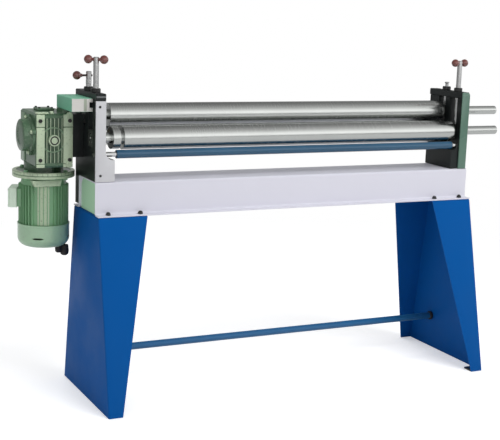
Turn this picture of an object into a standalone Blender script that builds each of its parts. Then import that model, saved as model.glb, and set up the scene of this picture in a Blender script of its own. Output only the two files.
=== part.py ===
"""Three-roll plate bending machine with a worm gearbox and a vertical flange motor.

Lengths are in metres. The driving sizes are measured from the bench's left end (X), its
front face (Y, growing to the back) and the floor (Z). The empty named machine carries every
piece and centres the whole on its footprint.
"""
import math

import bmesh
import bpy
from mathutils import Vector

# Clearances
GAP = 0.0003            # between pieces that touch or run in each other
THIN = 0.0006           # full running clearance across a bore or a slot
PAST = 0.010            # a cutter runs this far past the piece that it cuts

# Bench beam, a folded hat section
BENCH_LENGTH = 1.450
BENCH_DEPTH = 0.170
BENCH_TOP = 0.734
BENCH_HEIGHT = 0.1095
BENCH_SHEET = 0.004
BENCH_BEND = 0.007
LIP_FRONT = 0.0334
LIP_REAR = 0.0500
END_PANEL_INSET = 0.010
END_PANEL_SHEET = 0.003
END_PANEL_CHAMFER = 0.022

# Legs, folded channels that widen towards the floor
LEG_SHEET = 0.004
LEG_TOP_WIDTH = 0.168
LEG_FOOT_WIDTH = 0.0486
LEG_SPREAD_FRONT = 0.1400
LEG_SPREAD_REAR = 0.0820
LEG_SPLAY = 0.0055
FOOT_DEPTH = 0.040
FOOT_SHEET = 0.006
BENCH_BOLT_END = 0.0385     # outer bolt from the bench's end
BENCH_BOLT_EDGE = 0.0194    # inner bolt from the leg's inner edge
BENCH_BOLT_SHANK = 0.004
BENCH_BOLT_HEAD = 0.0085
BENCH_BOLT_HEIGHT = 0.011
WELD_NUT_RADIUS = 0.0075    # closed nuts under the legs' top flanges, across the corners
WELD_NUT_HEIGHT = 0.0065
WELD_NUT_FLOOR = 0.002

# Brace between the legs
BRACE_RADIUS = 0.0125
BRACE_WALL = 0.002
BRACE_Y = 0.1627
BRACE_HEIGHT = 0.1255
BRACE_NUT_RADIUS = 0.0165
BRACE_NUT_LENGTH = 0.012

# Side frames
FRAME_THICKNESS = 0.034
FRAME_DEPTH = 0.205
FRAME_LEFT_INSET = 0.0
FRAME_RIGHT_INSET = 0.005
FRAME_FOOT_REACH = 0.031
FRAME_FOOT_FILLET = 0.027
FOOT_RELIEF = 0.0005    # the foot stands clear of the frame's own seat by this much
LUG_CLEARANCE = 0.0128  # rear lug's end above the bench's underside
FRONT_PLATE = 0.006
CAP_THICKNESS = 0.023
CAP_OVERHANG = 0.007
CORNER_RADIUS = 0.012

# Rolls
ROLL_RADIUS = 0.0385
JOURNAL_RADIUS = 0.017
STUB_RADIUS = 0.016
ROLL_STEP = 0.0015      # turned step at each end of a face
FRONT_ROLL_Y = 0.055
LOWER_ROLL_RISE = 0.136     # lower rolls' axes above the bench's top
REAR_ROLL_EDGE = 0.0275     # rear roll's axis from the frame's rear edge
UPPER_ROLL_LEAD = 0.050     # upper roll's axis in front of the rear roll's
ROLL_OPENING = 0.0074       # between the upper and the rear roll
ROLL_LEFT_GAP = 0.047
FRONT_RING_LEFT_GAP = 0.033
FRONT_RING_WIDTH = 0.0265
FRONT_RING_STEP = 0.002     # the ring is turned down by this much
FRONT_GROOVE_WIDTH = 0.011
FRONT_GROOVE_RADIUS = 0.0226
ROLL_RIGHT_GAP = 0.014
TAIL_CLEARANCE = 0.012      # rear roll's tail from the gearbox's left side
UPPER_STUB = 0.212
FRONT_STUB = 0.165

# Bearing blocks and their slots
FRONT_BLOCK_WIDTH = 0.046
FRONT_BLOCK_HALF_HEIGHT = 0.027
UPPER_BLOCK_WIDTH = 0.042
UPPER_BLOCK_HALF_HEIGHT = 0.025
UPPER_DROP = 0.009
UPPER_HEADROOM = 0.030
BUSH_RADIUS = 0.022

# Setting screws, their lock nuts and ball levers
SCREW_RADIUS = 0.009
SCREW_SEAT = 0.005
FRONT_SCREW_RISE = 0.1127   # above the cap plates
REAR_SCREW_RISE = 0.0627
PIN_RISE = 0.0297
SCREW_CHAMFER = 0.001
PIN_RADIUS = 0.006
PIN_HEAD_RADIUS = 0.0085
PIN_HEAD_HEIGHT = 0.012
LOCK_NUT_RADIUS = 0.0155
LOCK_NUT_HEIGHT = 0.013
BALL_RADIUS = 0.014
BALL_DROP = 0.008
BALL_STEM_RADIUS = 0.0035
SHORT_LEVER_REACH = 0.040
SHORT_LEVER_DROP = 0.0135
BALL_NECK = 0.0022
LEFT_SCREW_TURN = -29.0
RIGHT_SCREW_TURN = 13.0

# Tie rod
TIE_ROD_LEAD = 0.033        # in front of the front roll's axis
TIE_ROD_DROP = 0.0495       # below the front roll's axis
TIE_ROD_CLEARANCE = 0.0022  # above the frames' feet
TIE_ROD_RADIUS = 0.014
TIE_ROD_JOURNAL = 0.008
TIE_ROD_COLLAR = 0.0105
TIE_ROD_LEFT_GAP = 0.042
TIE_ROD_RIGHT_GAP = 0.025
TIE_ROD_COLLAR_WIDTH = 0.008
TIE_ROD_COLLAR_PLACE = 0.65     # collar's place along the right-hand gap

# Worm gearbox
GEARBOX_WIDTH = 0.1225
HOUSING_WALL = 0.0017   # between the wheel's chamber and the ribs' ground
GEARBOX_REAR = 0.1275   # from the wheel's axis to the rear face
GEARBOX_ABOVE = 0.073
GEARBOX_BELOW = 0.102
GEARBOX_CORNER = 0.006
WHEEL_TEETH = 40
CENTRE_DISTANCE = 0.063
WORM_PITCH_RADIUS = 0.014
WORM_HALF_LENGTH = 0.030
SHAFT_OVERLAP = 0.003
TIP_CLEARANCE = 0.002
SHAFT_END = 0.004       # shaft's end below the fan
WHEEL_HALF_WIDTH = 0.012
WHEEL_HUB_RADIUS = 0.024
WHEEL_HUB_HALF_LENGTH = 0.034
WHEEL_TIP = 0.8         # tooth and thread heights, in modules from the pitch radius
WHEEL_ROOT = 1.15
WORM_TIP = 0.75
WORM_ROOT = 1.0
CHAMBER_CLEARANCE = 0.0013
CHAMBER_DEPTH = 0.004   # chamber past the wheel's rim
WORM_HEADROOM = 0.006
COVER_LAP = 0.0062      # side cover's flange around the wheel's chamber
COVER_STEP = 0.0065
COVER_FLANGE_LENGTH = 0.010
COVER_CHAMFER = 0.003
COVER_REACH = 0.0365
COVER_RECESS_RADIUS = 0.022
COVER_RECESS_DEPTH = 0.022
ADAPTER_HEIGHT = 0.140
ADAPTER_BORE = 0.023
WORM_COVER_HALF = 0.028
WORM_COVER_THICKNESS = 0.008
PLUG_RADIUS = 0.018
PLUG_REACH = 0.009
RIB_COUNT = 5
RIB_WIDTH = 0.0032
RIB_DEPTH = 0.006
RIB_SETBACK = 0.001
POST_WIDTH = 0.030
NECK_RADIUS = 0.065
NECK_OVERLAP = 0.005

# Torque bracket between the gearbox and the left frame
BRACKET_REACH = 0.0712
BRACKET_FRONT = 0.030
BRACKET_TAIL = 0.012    # behind the rear roll's axis
BRACKET_PAD = 0.014     # above the gearbox's top
BRACKET_HEIGHT = 0.0425
BRACKET_NOTCH_DEPTH = 0.012
BRACKET_NOTCH_HEIGHT = 0.018

# Motor
FLANGE_RADIUS = 0.103
FLANGE_THICKNESS = 0.010
FLANGE_DROP = 0.125     # flange joint below the lower rolls' axes
FLANGE_CLEARANCE = 0.0026   # between the flange and the left frame
NOSE_LENGTH = 0.0457    # from the flange joint to the finned body
SHIELD_STEP = 0.001     # front end shield over the body's root
SHIELD_CHAMFER = 0.006
BODY_LENGTH = 0.1315
BODY_RADIUS = 0.074
FIN_HEIGHT = 0.009
FIN_COUNT = 26
FIN_WIDTH = 0.0036
STATOR_BORE = 0.0463
AIR_GAP = 0.0008
ROTOR_HALF_LENGTH = 0.045
SHAFT_RADIUS = 0.011
WORM_TIP_RADIUS = 0.008
REAR_SHIELD_THICKNESS = 0.0115
COWL_LAP = 0.003        # cowl over the fins
COWL_WALL = 0.0018
COWL_LENGTH = 0.0778
COWL_CORNER = 0.030
COWL_SLOTS = 8
COWL_SLOT_LENGTH = 0.030
COWL_SLOT_WIDTH = 0.008
COWL_SLOT_PLACE = 0.038     # slots' middles from the axis
FAN_CLEARANCE = 0.0142
FAN_DROP = 0.0198       # below the finned body
FAN_HEIGHT = 0.026
FAN_DISC = 0.85         # disc's share of the fan's radius
FAN_SHEET = 0.003
FAN_BLADES = 7
BLADE_ROOT = 0.002
PAD_STANDOFF = 0.0005   # terminal box pad over the fins
PAD_INSET = 0.004
TERMINAL_TURN = -22.5   # terminal box round the motor's axis, in degrees
BOX_LENGTH = 0.0229
BOX_HALF_DEPTH = 0.044
BOX_RISE = 0.0542       # above the finned body's lower end
BOX_HEIGHT = 0.064
BOX_WALL = 0.003
LID_THICKNESS = 0.005
EDGE_ROUND = 0.002
GLAND_RADIUS = 0.011
GLAND_LENGTH = 0.022
GLAND_BORE = 0.005
GLAND_THREAD = 0.002
GLAND_TAPER = 0.8

# Places worked out from the driving sizes
BENCH_BOTTOM = BENCH_TOP - BENCH_HEIGHT
LEG_TOP = BENCH_BOTTOM - GAP
WELD_NUT_BOTTOM = LEG_TOP - LEG_SHEET - WELD_NUT_HEIGHT
BOLT_HOLE_BOTTOM = WELD_NUT_BOTTOM + WELD_NUT_FLOOR
LEFT_IN = FRAME_LEFT_INSET + FRAME_THICKNESS
RIGHT_OUT = BENCH_LENGTH - FRAME_RIGHT_INSET
RIGHT_IN = RIGHT_OUT - FRAME_THICKNESS
LOWER_ROLL_Z = BENCH_TOP + LOWER_ROLL_RISE
REAR_ROLL_Y = FRAME_DEPTH - REAR_ROLL_EDGE
UPPER_ROLL_Y = REAR_ROLL_Y - UPPER_ROLL_LEAD
ROLL_SPACING = 2 * ROLL_RADIUS + ROLL_OPENING
UPPER_ROLL_Z = LOWER_ROLL_Z + math.sqrt(ROLL_SPACING ** 2 - UPPER_ROLL_LEAD ** 2)
FRAME_FRONT = FRONT_PLATE + GAP
FRAME_BASE = BENCH_TOP + GAP
FRAME_TOP = UPPER_ROLL_Z + UPPER_BLOCK_HALF_HEIGHT + UPPER_HEADROOM
LUG_BOTTOM = BENCH_BOTTOM + LUG_CLEARANCE
CAP_BOTTOM = FRAME_TOP + GAP
CAP_TOP = CAP_BOTTOM + CAP_THICKNESS
TIE_ROD_Y = FRONT_ROLL_Y - TIE_ROD_LEAD
TIE_ROD_Z = LOWER_ROLL_Z - TIE_ROD_DROP
FRAME_FOOT_HEIGHT = TIE_ROD_Z - TIE_ROD_RADIUS - TIE_ROD_CLEARANCE - FRAME_BASE
WORM_Y = REAR_ROLL_Y + CENTRE_DISTANCE
WHEEL_PITCH_RADIUS = CENTRE_DISTANCE - WORM_PITCH_RADIUS
MODULE = 2 * WHEEL_PITCH_RADIUS / WHEEL_TEETH
WORM_PITCH = math.pi * MODULE
CHAMBER_RADIUS = WHEEL_PITCH_RADIUS + WHEEL_TIP * MODULE + CHAMBER_CLEARANCE
COVER_FLANGE_RADIUS = CHAMBER_RADIUS + COVER_LAP
COVER_RADIUS = COVER_FLANGE_RADIUS - COVER_STEP
FLANGE_REACH = math.sqrt(FLANGE_RADIUS ** 2 - (WORM_Y - FRAME_DEPTH) ** 2)
GEARBOX_MIDDLE = FRAME_LEFT_INSET - FLANGE_CLEARANCE - FLANGE_REACH
GEARBOX_LEFT = GEARBOX_MIDDLE - GEARBOX_WIDTH / 2
GEARBOX_RIGHT = GEARBOX_MIDDLE + GEARBOX_WIDTH / 2
GEARBOX_FRONT = REAR_ROLL_Y - CHAMBER_RADIUS - HOUSING_WALL - RIB_DEPTH
GEARBOX_TOP = LOWER_ROLL_Z + GEARBOX_ABOVE
GEARBOX_BOTTOM = LOWER_ROLL_Z - GEARBOX_BELOW
BRACKET_BOTTOM = GEARBOX_TOP + BRACKET_PAD
BRACKET_REAR = REAR_ROLL_Y + BRACKET_TAIL
FLANGE_TOP = LOWER_ROLL_Z - FLANGE_DROP
BODY_TOP = FLANGE_TOP - NOSE_LENGTH
BODY_BOTTOM = BODY_TOP - BODY_LENGTH
SHIELD_RADIUS = BODY_RADIUS + SHIELD_STEP
FIN_RADIUS = BODY_RADIUS + FIN_HEIGHT
COWL_RADIUS = FIN_RADIUS + COWL_LAP
COWL_BOTTOM = BODY_BOTTOM - COWL_LENGTH
FAN_RADIUS = COWL_RADIUS - COWL_WALL - FAN_CLEARANCE
FAN_TOP = BODY_BOTTOM - FAN_DROP
ROTOR_RADIUS = STATOR_BORE - AIR_GAP
PAD_REACH = FIN_RADIUS + PAD_STANDOFF
BOX_BOTTOM = BODY_BOTTOM + BOX_RISE
BOX_RIGHT = GEARBOX_MIDDLE - PAD_REACH - GAP
BOX_LEFT = BOX_RIGHT - BOX_LENGTH
LID_LEFT = BOX_LEFT - GAP - LID_THICKNESS
LEG_FRONT = -LIP_FRONT - LEG_SPREAD_FRONT
UPPER_STUB_END = RIGHT_OUT + UPPER_STUB
TERMINAL_ANGLE = math.radians(TERMINAL_TURN)
TERMINAL_REACH = (GEARBOX_MIDDLE - LID_LEFT) * math.cos(TERMINAL_ANGLE)
LID_CORNER = (BOX_HALF_DEPTH - EDGE_ROUND) * abs(math.sin(TERMINAL_ANGLE))
LEFT_END = GEARBOX_MIDDLE - TERMINAL_REACH - LID_CORNER
MIDDLE_X = (LEFT_END + UPPER_STUB_END) / 2
MIDDLE_Y = (LEG_FRONT + WORM_Y + FLANGE_RADIUS) / 2
ROUND = 40              # sides of a large turned piece
SMALL_ROUND = 24        # sides of a small turned piece
TINY_ROUND = 16         # sides of a bolt
SHARP_ANGLE = 35.0      # in degrees; a flatter edge is shaded smooth

for old in list(bpy.data.objects):
    bpy.data.objects.remove(old, do_unlink=True)

parts = bpy.data.collections.new("plate_bending_machine")
cutters = bpy.data.collections.new("cutters")
bpy.context.scene.collection.children.link(parts)
bpy.context.scene.collection.children.link(cutters)

FINISHES = {
    "bench_white": ((0.70, 0.70, 0.78), 0.45, 0.0),
    "panel_grey_green": ((0.33, 0.42, 0.33), 0.50, 0.0),
    "leg_blue": ((0.0, 0.085, 0.38), 0.40, 0.0),
    "brace_blue": ((0.01, 0.11, 0.27), 0.40, 0.0),
    "frame_black": ((0.012, 0.013, 0.013), 0.45, 0.0),
    "plate_grey": ((0.60, 0.60, 0.62), 0.40, 0.0),
    "plate_green": ((0.10, 0.19, 0.14), 0.40, 0.0),
    "bracket_green": ((0.22, 0.34, 0.26), 0.45, 0.0),
    "machine_green": ((0.12, 0.22, 0.13), 0.40, 0.0),
    "roll_steel": ((0.55, 0.56, 0.55), 0.25, 1.0),
    "cast_iron": ((0.10, 0.10, 0.10), 0.60, 0.8),
    "bronze": ((0.45, 0.28, 0.10), 0.35, 1.0),
    "screw_steel": ((0.60, 0.60, 0.60), 0.25, 1.0),
    "black_steel": ((0.02, 0.02, 0.02), 0.40, 0.6),
    "knob_red": ((0.17, 0.03, 0.02), 0.25, 0.0),
    "rod_blue": ((0.02, 0.12, 0.28), 0.30, 0.0),
    "lamination": ((0.20, 0.20, 0.21), 0.50, 0.9),
    "fan_black": ((0.02, 0.02, 0.02), 0.50, 0.0),
}


def finish(name):
    """Principled material for one of the machine's finishes."""
    material = bpy.data.materials.get(name)
    if material is None:
        colour, roughness, metallic = FINISHES[name]
        material = bpy.data.materials.new(name)
        material.use_nodes = True
        shader = material.node_tree.nodes["Principled BSDF"]
        shader.inputs["Base Color"].default_value = (*colour, 1.0)
        shader.inputs["Roughness"].default_value = roughness
        shader.inputs["Metallic"].default_value = metallic
        material.diffuse_color = (*colour, 1.0)
    return material


def empty(name, location, parent=None):
    """Empty that carries a group of pieces."""
    carrier = bpy.data.objects.new(name, None)
    carrier.location = location
    carrier.parent = parent
    parts.objects.link(carrier)
    return carrier


machine = empty("machine", (-MIDDLE_X, -MIDDLE_Y, 0.0))


def place(name, mesh, location, look, parent=None, rotation=(0.0, 0.0, 0.0), home=parts):
    """Puts a mesh in the machine; location is measured from the bench, whatever the parent is."""
    item = bpy.data.objects.new(name, mesh)
    home.objects.link(item)
    carrier = parent or machine
    origin = Vector((0.0, 0.0, 0.0))
    step = carrier
    while step is not None and step is not machine:
        origin += step.location
        step = step.parent
    item.parent = carrier
    item.location = Vector(location) - origin
    item.rotation_euler = rotation
    if home is cutters:
        item.hide_render = True
        item.display_type = "WIRE"
    else:
        mesh.materials.append(finish(look))
    return item


def round_shading(mesh):
    """Smooth shading on a mesh's round sides, with its edges kept sharp."""
    mesh.shade_smooth()
    mesh.set_sharp_from_angle(angle=math.radians(SHARP_ANGLE))
    return mesh


def solved_mesh(source):
    """Mesh of an object with its modifiers or its curve worked out; the object is removed."""
    parts.objects.link(source)
    bpy.context.view_layer.update()
    solved = source.evaluated_get(bpy.context.evaluated_depsgraph_get())
    mesh = bpy.data.meshes.new_from_object(solved)
    bpy.data.objects.remove(source, do_unlink=True)
    return mesh


def cuboid_mesh(size):
    """Box mesh centred on its origin."""
    builder = bmesh.new()
    bmesh.ops.create_cube(builder, size=1.0)
    bmesh.ops.scale(builder, vec=size, verts=builder.verts)
    mesh = bpy.data.meshes.new("box")
    builder.to_mesh(mesh)
    builder.free()
    return mesh


def box(name, low, high, look=None, bevel=0.0, parent=None, home=parts):
    """Box between two corners, with its origin at its centre."""
    low = Vector(low)
    high = Vector(high)
    item = place(name, cuboid_mesh(high - low), (low + high) / 2, look, parent, home=home)
    if bevel:
        round_edges(item, bevel)
    return item


def cylinder(name, radius, start, end, look=None, sides=SMALL_ROUND, parent=None, home=parts):
    """Cylinder between two points on one of the axes."""
    start = Vector(start)
    end = Vector(end)
    builder = bmesh.new()
    bmesh.ops.create_cone(builder, cap_ends=True, segments=sides, radius1=radius,
                          radius2=radius, depth=(end - start).length)
    mesh = bpy.data.meshes.new(name)
    builder.to_mesh(mesh)
    builder.free()
    turn = (end - start).to_track_quat("Z", "Y").to_euler()
    return place(name, round_shading(mesh), (start + end) / 2, look, parent, turn, home)


def turned(name, profile, location, look, axis="Z", sides=ROUND, parent=None):
    """Turned solid; profile lists (radius, height) down its outer side from top to bottom.

    A profile that starts and ends off the axis is closed into a ring.
    """
    mesh = bpy.data.meshes.new(name)
    points = [(radius, 0.0, height) for radius, height in profile]
    edges = [(index, index + 1) for index in range(len(points) - 1)]
    if profile[0][0] > 0.0:
        edges.append((len(points) - 1, 0))
    mesh.from_pydata(points, edges, [])
    source = bpy.data.objects.new(name + "_profile", mesh)
    screw = source.modifiers.new("turn", "SCREW")
    screw.steps = sides
    screw.render_steps = sides
    screw.use_merge_vertices = True
    screw.merge_threshold = 0.00001
    turn = (0.0, math.pi / 2, 0.0) if axis == "X" else (0.0, 0.0, 0.0)
    return place(name, round_shading(solved_mesh(source)), location, look, parent, turn)


def arc(centre, radius, start, end, count):
    """Points on an arc, both ends included; angles are in degrees."""
    points = []
    for index in range(count + 1):
        angle = math.radians(start + (end - start) * index / count)
        points.append((centre[0] + radius * math.cos(angle), centre[1] + radius * math.sin(angle)))
    return points


def plate(name, outline, thickness, location, look=None, rotation=(0.0, 0.0, 0.0), parent=None,
          home=parts):
    """Flat outline given a thickness, as a mesh with welded caps."""
    curve = bpy.data.curves.new(name, "CURVE")
    curve.dimensions = "2D"
    curve.fill_mode = "BOTH"
    curve.extrude = thickness / 2
    spline = curve.splines.new("POLY")
    spline.points.add(len(outline) - 1)
    for point, (across, up) in zip(spline.points, outline):
        point.co = (across, up, 0.0, 1.0)
    spline.use_cyclic_u = True
    mesh = solved_mesh(bpy.data.objects.new(name + "_outline", curve))
    builder = bmesh.new()
    builder.from_mesh(mesh)
    bmesh.ops.remove_doubles(builder, verts=builder.verts, dist=0.00001)
    bmesh.ops.dissolve_limit(builder, angle_limit=0.001, verts=builder.verts, edges=builder.edges)
    bmesh.ops.recalc_face_normals(builder, faces=builder.faces)
    builder.to_mesh(mesh)
    builder.free()
    return place(name, round_shading(mesh), location, look, parent, rotation, home)


FACING_X = (math.pi / 2, 0.0, math.pi / 2)      # outline (Y, Z), thickness along X
FACING_Y = (math.pi / 2, 0.0, 0.0)              # outline (X, Z), thickness along Y


def round_edges(item, width, segments=1):
    """Rounded edges."""
    bevel = item.modifiers.new("edges", "BEVEL")
    bevel.width = width
    bevel.segments = segments
    bevel.limit_method = "ANGLE"
    bevel.angle_limit = math.radians(SHARP_ANGLE)


def combine(item, tool, operation):
    """Cuts or joins a piece with a tool from the cutters' collection."""
    step = item.modifiers.new(operation.lower(), "BOOLEAN")
    step.operation = operation
    step.object = tool
    step.solver = "EXACT"


def cut(item, tool):
    """Takes the tool's space out of a piece."""
    combine(item, tool, "DIFFERENCE")


def join(item, tool):
    """Adds the tool's solid to a piece."""
    combine(item, tool, "UNION")


def cut_box(item, low, high):
    """Cuts a box out of a piece."""
    cut(item, box(item.name + "_cut", low, high, home=cutters))


def cut_bore(item, radius, start, end, sides=SMALL_ROUND):
    """Cuts a bore out of a piece."""
    cut(item, cylinder(item.name + "_bore", radius, start, end, sides=sides, home=cutters))


def bend(before, corner, after, radius, count=3):
    """Points of a rounded sheet bend between two straight runs."""
    before = Vector(before)
    corner = Vector(corner)
    after = Vector(after)
    come = (before - corner).normalized()
    leave = (after - corner).normalized()
    half = come.angle(leave) / 2
    centre = corner + (come + leave).normalized() * radius / math.sin(half)
    first = corner + come * radius / math.tan(half) - centre
    last = corner + leave * radius / math.tan(half) - centre
    points = []
    for index in range(count + 1):
        points.append(centre + radius * first.normalized().slerp(last.normalized(), index / count))
    return points


def make_bench():
    """Hat-section beam that the frames stand on, with its two end panels."""
    rear = BENCH_DEPTH
    lip = BENCH_SHEET
    corners = [(-LIP_FRONT, lip), (0.0, lip), (0.0, BENCH_HEIGHT), (rear, BENCH_HEIGHT),
               (rear, lip), (rear + LIP_REAR, lip)]
    path = [Vector(corners[0])]
    for before, corner, after in zip(corners, corners[1:], corners[2:]):
        path += bend(before, corner, after, BENCH_BEND)
    path.append(Vector(corners[-1]))
    count = len(path)
    points = []
    for along in (0.0, BENCH_LENGTH):
        points += [(along, across, up) for across, up in path]
    faces = []
    for index in range(count - 1):
        faces.append((index, index + count, index + 1 + count, index + 1))
    mesh = bpy.data.meshes.new("bench_beam")
    mesh.from_pydata(points, [], faces)
    beam = place("bench_beam", mesh, (0.0, 0.0, BENCH_BOTTOM), "bench_white")
    sheet = beam.modifiers.new("sheet", "SOLIDIFY")
    sheet.thickness = BENCH_SHEET
    sheet.offset = -1.0
    sheet.use_even_offset = True
    for inset in (BENCH_BOLT_END, LEG_TOP_WIDTH - BENCH_BOLT_EDGE):
        for along in (inset, BENCH_LENGTH - inset):
            low = (along, -LIP_FRONT / 2, BENCH_BOTTOM - BENCH_SHEET)
            high = (along, -LIP_FRONT / 2, BENCH_BOTTOM + 2 * BENCH_SHEET)
            cut_bore(beam, BENCH_BOLT_SHANK + GAP, low, high, TINY_ROUND)
    inner = BENCH_SHEET + GAP
    width = BENCH_DEPTH - 2 * inner
    height = BENCH_HEIGHT - inner - GAP
    slope = END_PANEL_CHAMFER
    outline = [(0.0, 0.0), (width, 0.0), (width, height - slope), (width - slope, height),
               (slope, height), (0.0, height - slope)]
    for name, along in (("left_end_panel", END_PANEL_INSET),
                        ("right_end_panel", BENCH_LENGTH - END_PANEL_INSET)):
        plate(name, outline, END_PANEL_SHEET, (along, inner, BENCH_BOTTOM + GAP),
              "panel_grey_green", FACING_X)


def make_leg(name, outer, inward):
    """Folded channel leg: side plate, front, rear and top flanges, and two weld nuts."""
    front = -LIP_FRONT
    rear = BENCH_DEPTH + LIP_REAR
    top = LEG_TOP
    low_front = front - LEG_SPREAD_FRONT
    low_rear = rear + LEG_SPREAD_REAR
    splay = outer - inward * LEG_SPLAY
    top_in = outer + inward * LEG_TOP_WIDTH
    foot_in = splay + inward * LEG_FOOT_WIDTH
    points = [(outer, front, top), (outer, rear, top), (splay, low_rear, 0.0),
              (splay, low_front, 0.0), (top_in, front, top), (foot_in, low_front, 0.0),
              (top_in, rear, top), (foot_in, low_rear, 0.0)]
    points = [(across - outer, deep, up - top) for across, deep, up in points]
    faces = [(0, 1, 2, 3), (4, 0, 3, 5), (1, 6, 7, 2), (0, 4, 6, 1)]
    mesh = bpy.data.meshes.new(name)
    mesh.from_pydata(points, [], faces)
    builder = bmesh.new()
    builder.from_mesh(mesh)
    bmesh.ops.recalc_face_normals(builder, faces=builder.faces)
    side = next(face for face in builder.faces if abs(face.normal.x) > 0.9)
    if side.normal.x * inward > 0.0:
        bmesh.ops.reverse_faces(builder, faces=builder.faces)
    builder.to_mesh(mesh)
    builder.free()
    leg = place(name, mesh, (outer, 0.0, top), "leg_blue")
    sheet = leg.modifiers.new("sheet", "SOLIDIFY")
    sheet.thickness = LEG_SHEET
    sheet.offset = -1.0
    sheet.use_even_offset = True
    west, east = min(splay, top_in) - PAST, max(splay, top_in) + PAST
    south, north = low_front - PAST, low_rear + PAST
    cut_box(leg, (west, south, -PAST), (east, north, 0.0))
    cut_box(leg, (west, south, top), (east, north, top + PAST))
    for inset in (BENCH_BOLT_END, LEG_TOP_WIDTH - BENCH_BOLT_EDGE):
        along = outer + inward * inset
        nut = cylinder("weld_nut", WELD_NUT_RADIUS, (along, front / 2, WELD_NUT_BOTTOM),
                       (along, front / 2, top - LEG_SHEET / 2), sides=6, home=cutters)
        join(leg, nut)
        cut_bore(leg, BENCH_BOLT_SHANK + GAP, (along, front / 2, BOLT_HOLE_BOTTOM),
                 (along, front / 2, top + PAST), TINY_ROUND)


def make_foot(name, outer, inward):
    """Foot plate inside the front flange of a leg, on the floor."""
    lean = LEG_SPREAD_FRONT / LEG_TOP
    front = LEG_FRONT + LEG_SHEET * math.hypot(1.0, lean) + lean * FOOT_SHEET + GAP
    splay = outer - inward * LEG_SPLAY
    near = splay + inward * (LEG_SHEET + 2 * GAP)
    far = splay + inward * LEG_FOOT_WIDTH
    box(name, (min(near, far), front, 0.0), (max(near, far), front + FOOT_DEPTH, FOOT_SHEET),
        "black_steel")


def make_bench_bolts():
    """Four bolts that hold the bench's front lip to the legs' weld nuts."""
    seat = BENCH_BOTTOM + BENCH_SHEET + GAP
    end_of_thread = BOLT_HOLE_BOTTOM + GAP - seat
    insets = (BENCH_BOLT_END, LEG_TOP_WIDTH - BENCH_BOLT_EDGE)
    for side, end, inward in (("left", 0.0, 1.0), ("right", BENCH_LENGTH, -1.0)):
        for number, inset in enumerate(insets, start=1):
            profile = [(0.0, BENCH_BOLT_HEIGHT)]
            profile += [(BENCH_BOLT_HEAD * math.sin(math.radians(angle)),
                         BENCH_BOLT_HEIGHT * math.cos(math.radians(angle)))
                        for angle in (25, 50, 75, 90)]
            profile += [(BENCH_BOLT_SHANK, 0.0), (BENCH_BOLT_SHANK, end_of_thread),
                        (0.0, end_of_thread)]
            turned("%s_bench_bolt_%d" % (side, number), profile,
                   (end + inward * inset, -LIP_FRONT / 2, seat), "black_steel",
                   sides=TINY_ROUND)


def make_brace():
    """Round brace between the legs, with a flange nut at each end."""
    height_share = 1.0 - BRACE_HEIGHT / LEG_TOP
    splay = LEG_SPLAY * height_share
    lean = LEG_SHEET * math.hypot(1.0, LEG_SPLAY / BENCH_BOTTOM)
    reach = BRACE_NUT_RADIUS * LEG_SPLAY / BENCH_BOTTOM
    left = -splay + lean + reach + GAP
    right = BENCH_LENGTH + splay - lean - reach - GAP
    for name, start, end in (("brace_nut_left", left, left + BRACE_NUT_LENGTH),
                             ("brace_nut_right", right - BRACE_NUT_LENGTH, right)):
        cylinder(name, BRACE_NUT_RADIUS, (start, BRACE_Y, BRACE_HEIGHT),
                 (end, BRACE_Y, BRACE_HEIGHT), "black_steel")
    start = left + BRACE_NUT_LENGTH + GAP
    end = right - BRACE_NUT_LENGTH - GAP
    half = (end - start) / 2
    inner = BRACE_RADIUS - BRACE_WALL
    profile = [(BRACE_RADIUS, half), (BRACE_RADIUS, -half), (inner, -half), (inner, half)]
    turned("brace_tube", profile, ((start + end) / 2, BRACE_Y, BRACE_HEIGHT), "brace_blue", "X",
           SMALL_ROUND)


def front_view(height):
    """Front view of a frame or its cover plate, with the foot that grows to positive X."""
    foot = FRAME_THICKNESS + FRAME_FOOT_REACH
    points = [(0.0, 0.0), (foot, 0.0), (foot, FRAME_FOOT_HEIGHT)]
    centre = (FRAME_THICKNESS + FRAME_FOOT_FILLET, FRAME_FOOT_HEIGHT + FRAME_FOOT_FILLET)
    points += arc(centre, FRAME_FOOT_FILLET, 270, 180, 6)
    points += [(FRAME_THICKNESS, height), (0.0, height)]
    return points


def slot_points(middle, width, bottom):
    """Corners of a slot for a bearing block, open at the frame's top."""
    half = width / 2 + THIN / 2
    return [(middle + half, FRAME_TOP), (middle + half, bottom), (middle - half, bottom),
            (middle - half, FRAME_TOP)]


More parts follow.
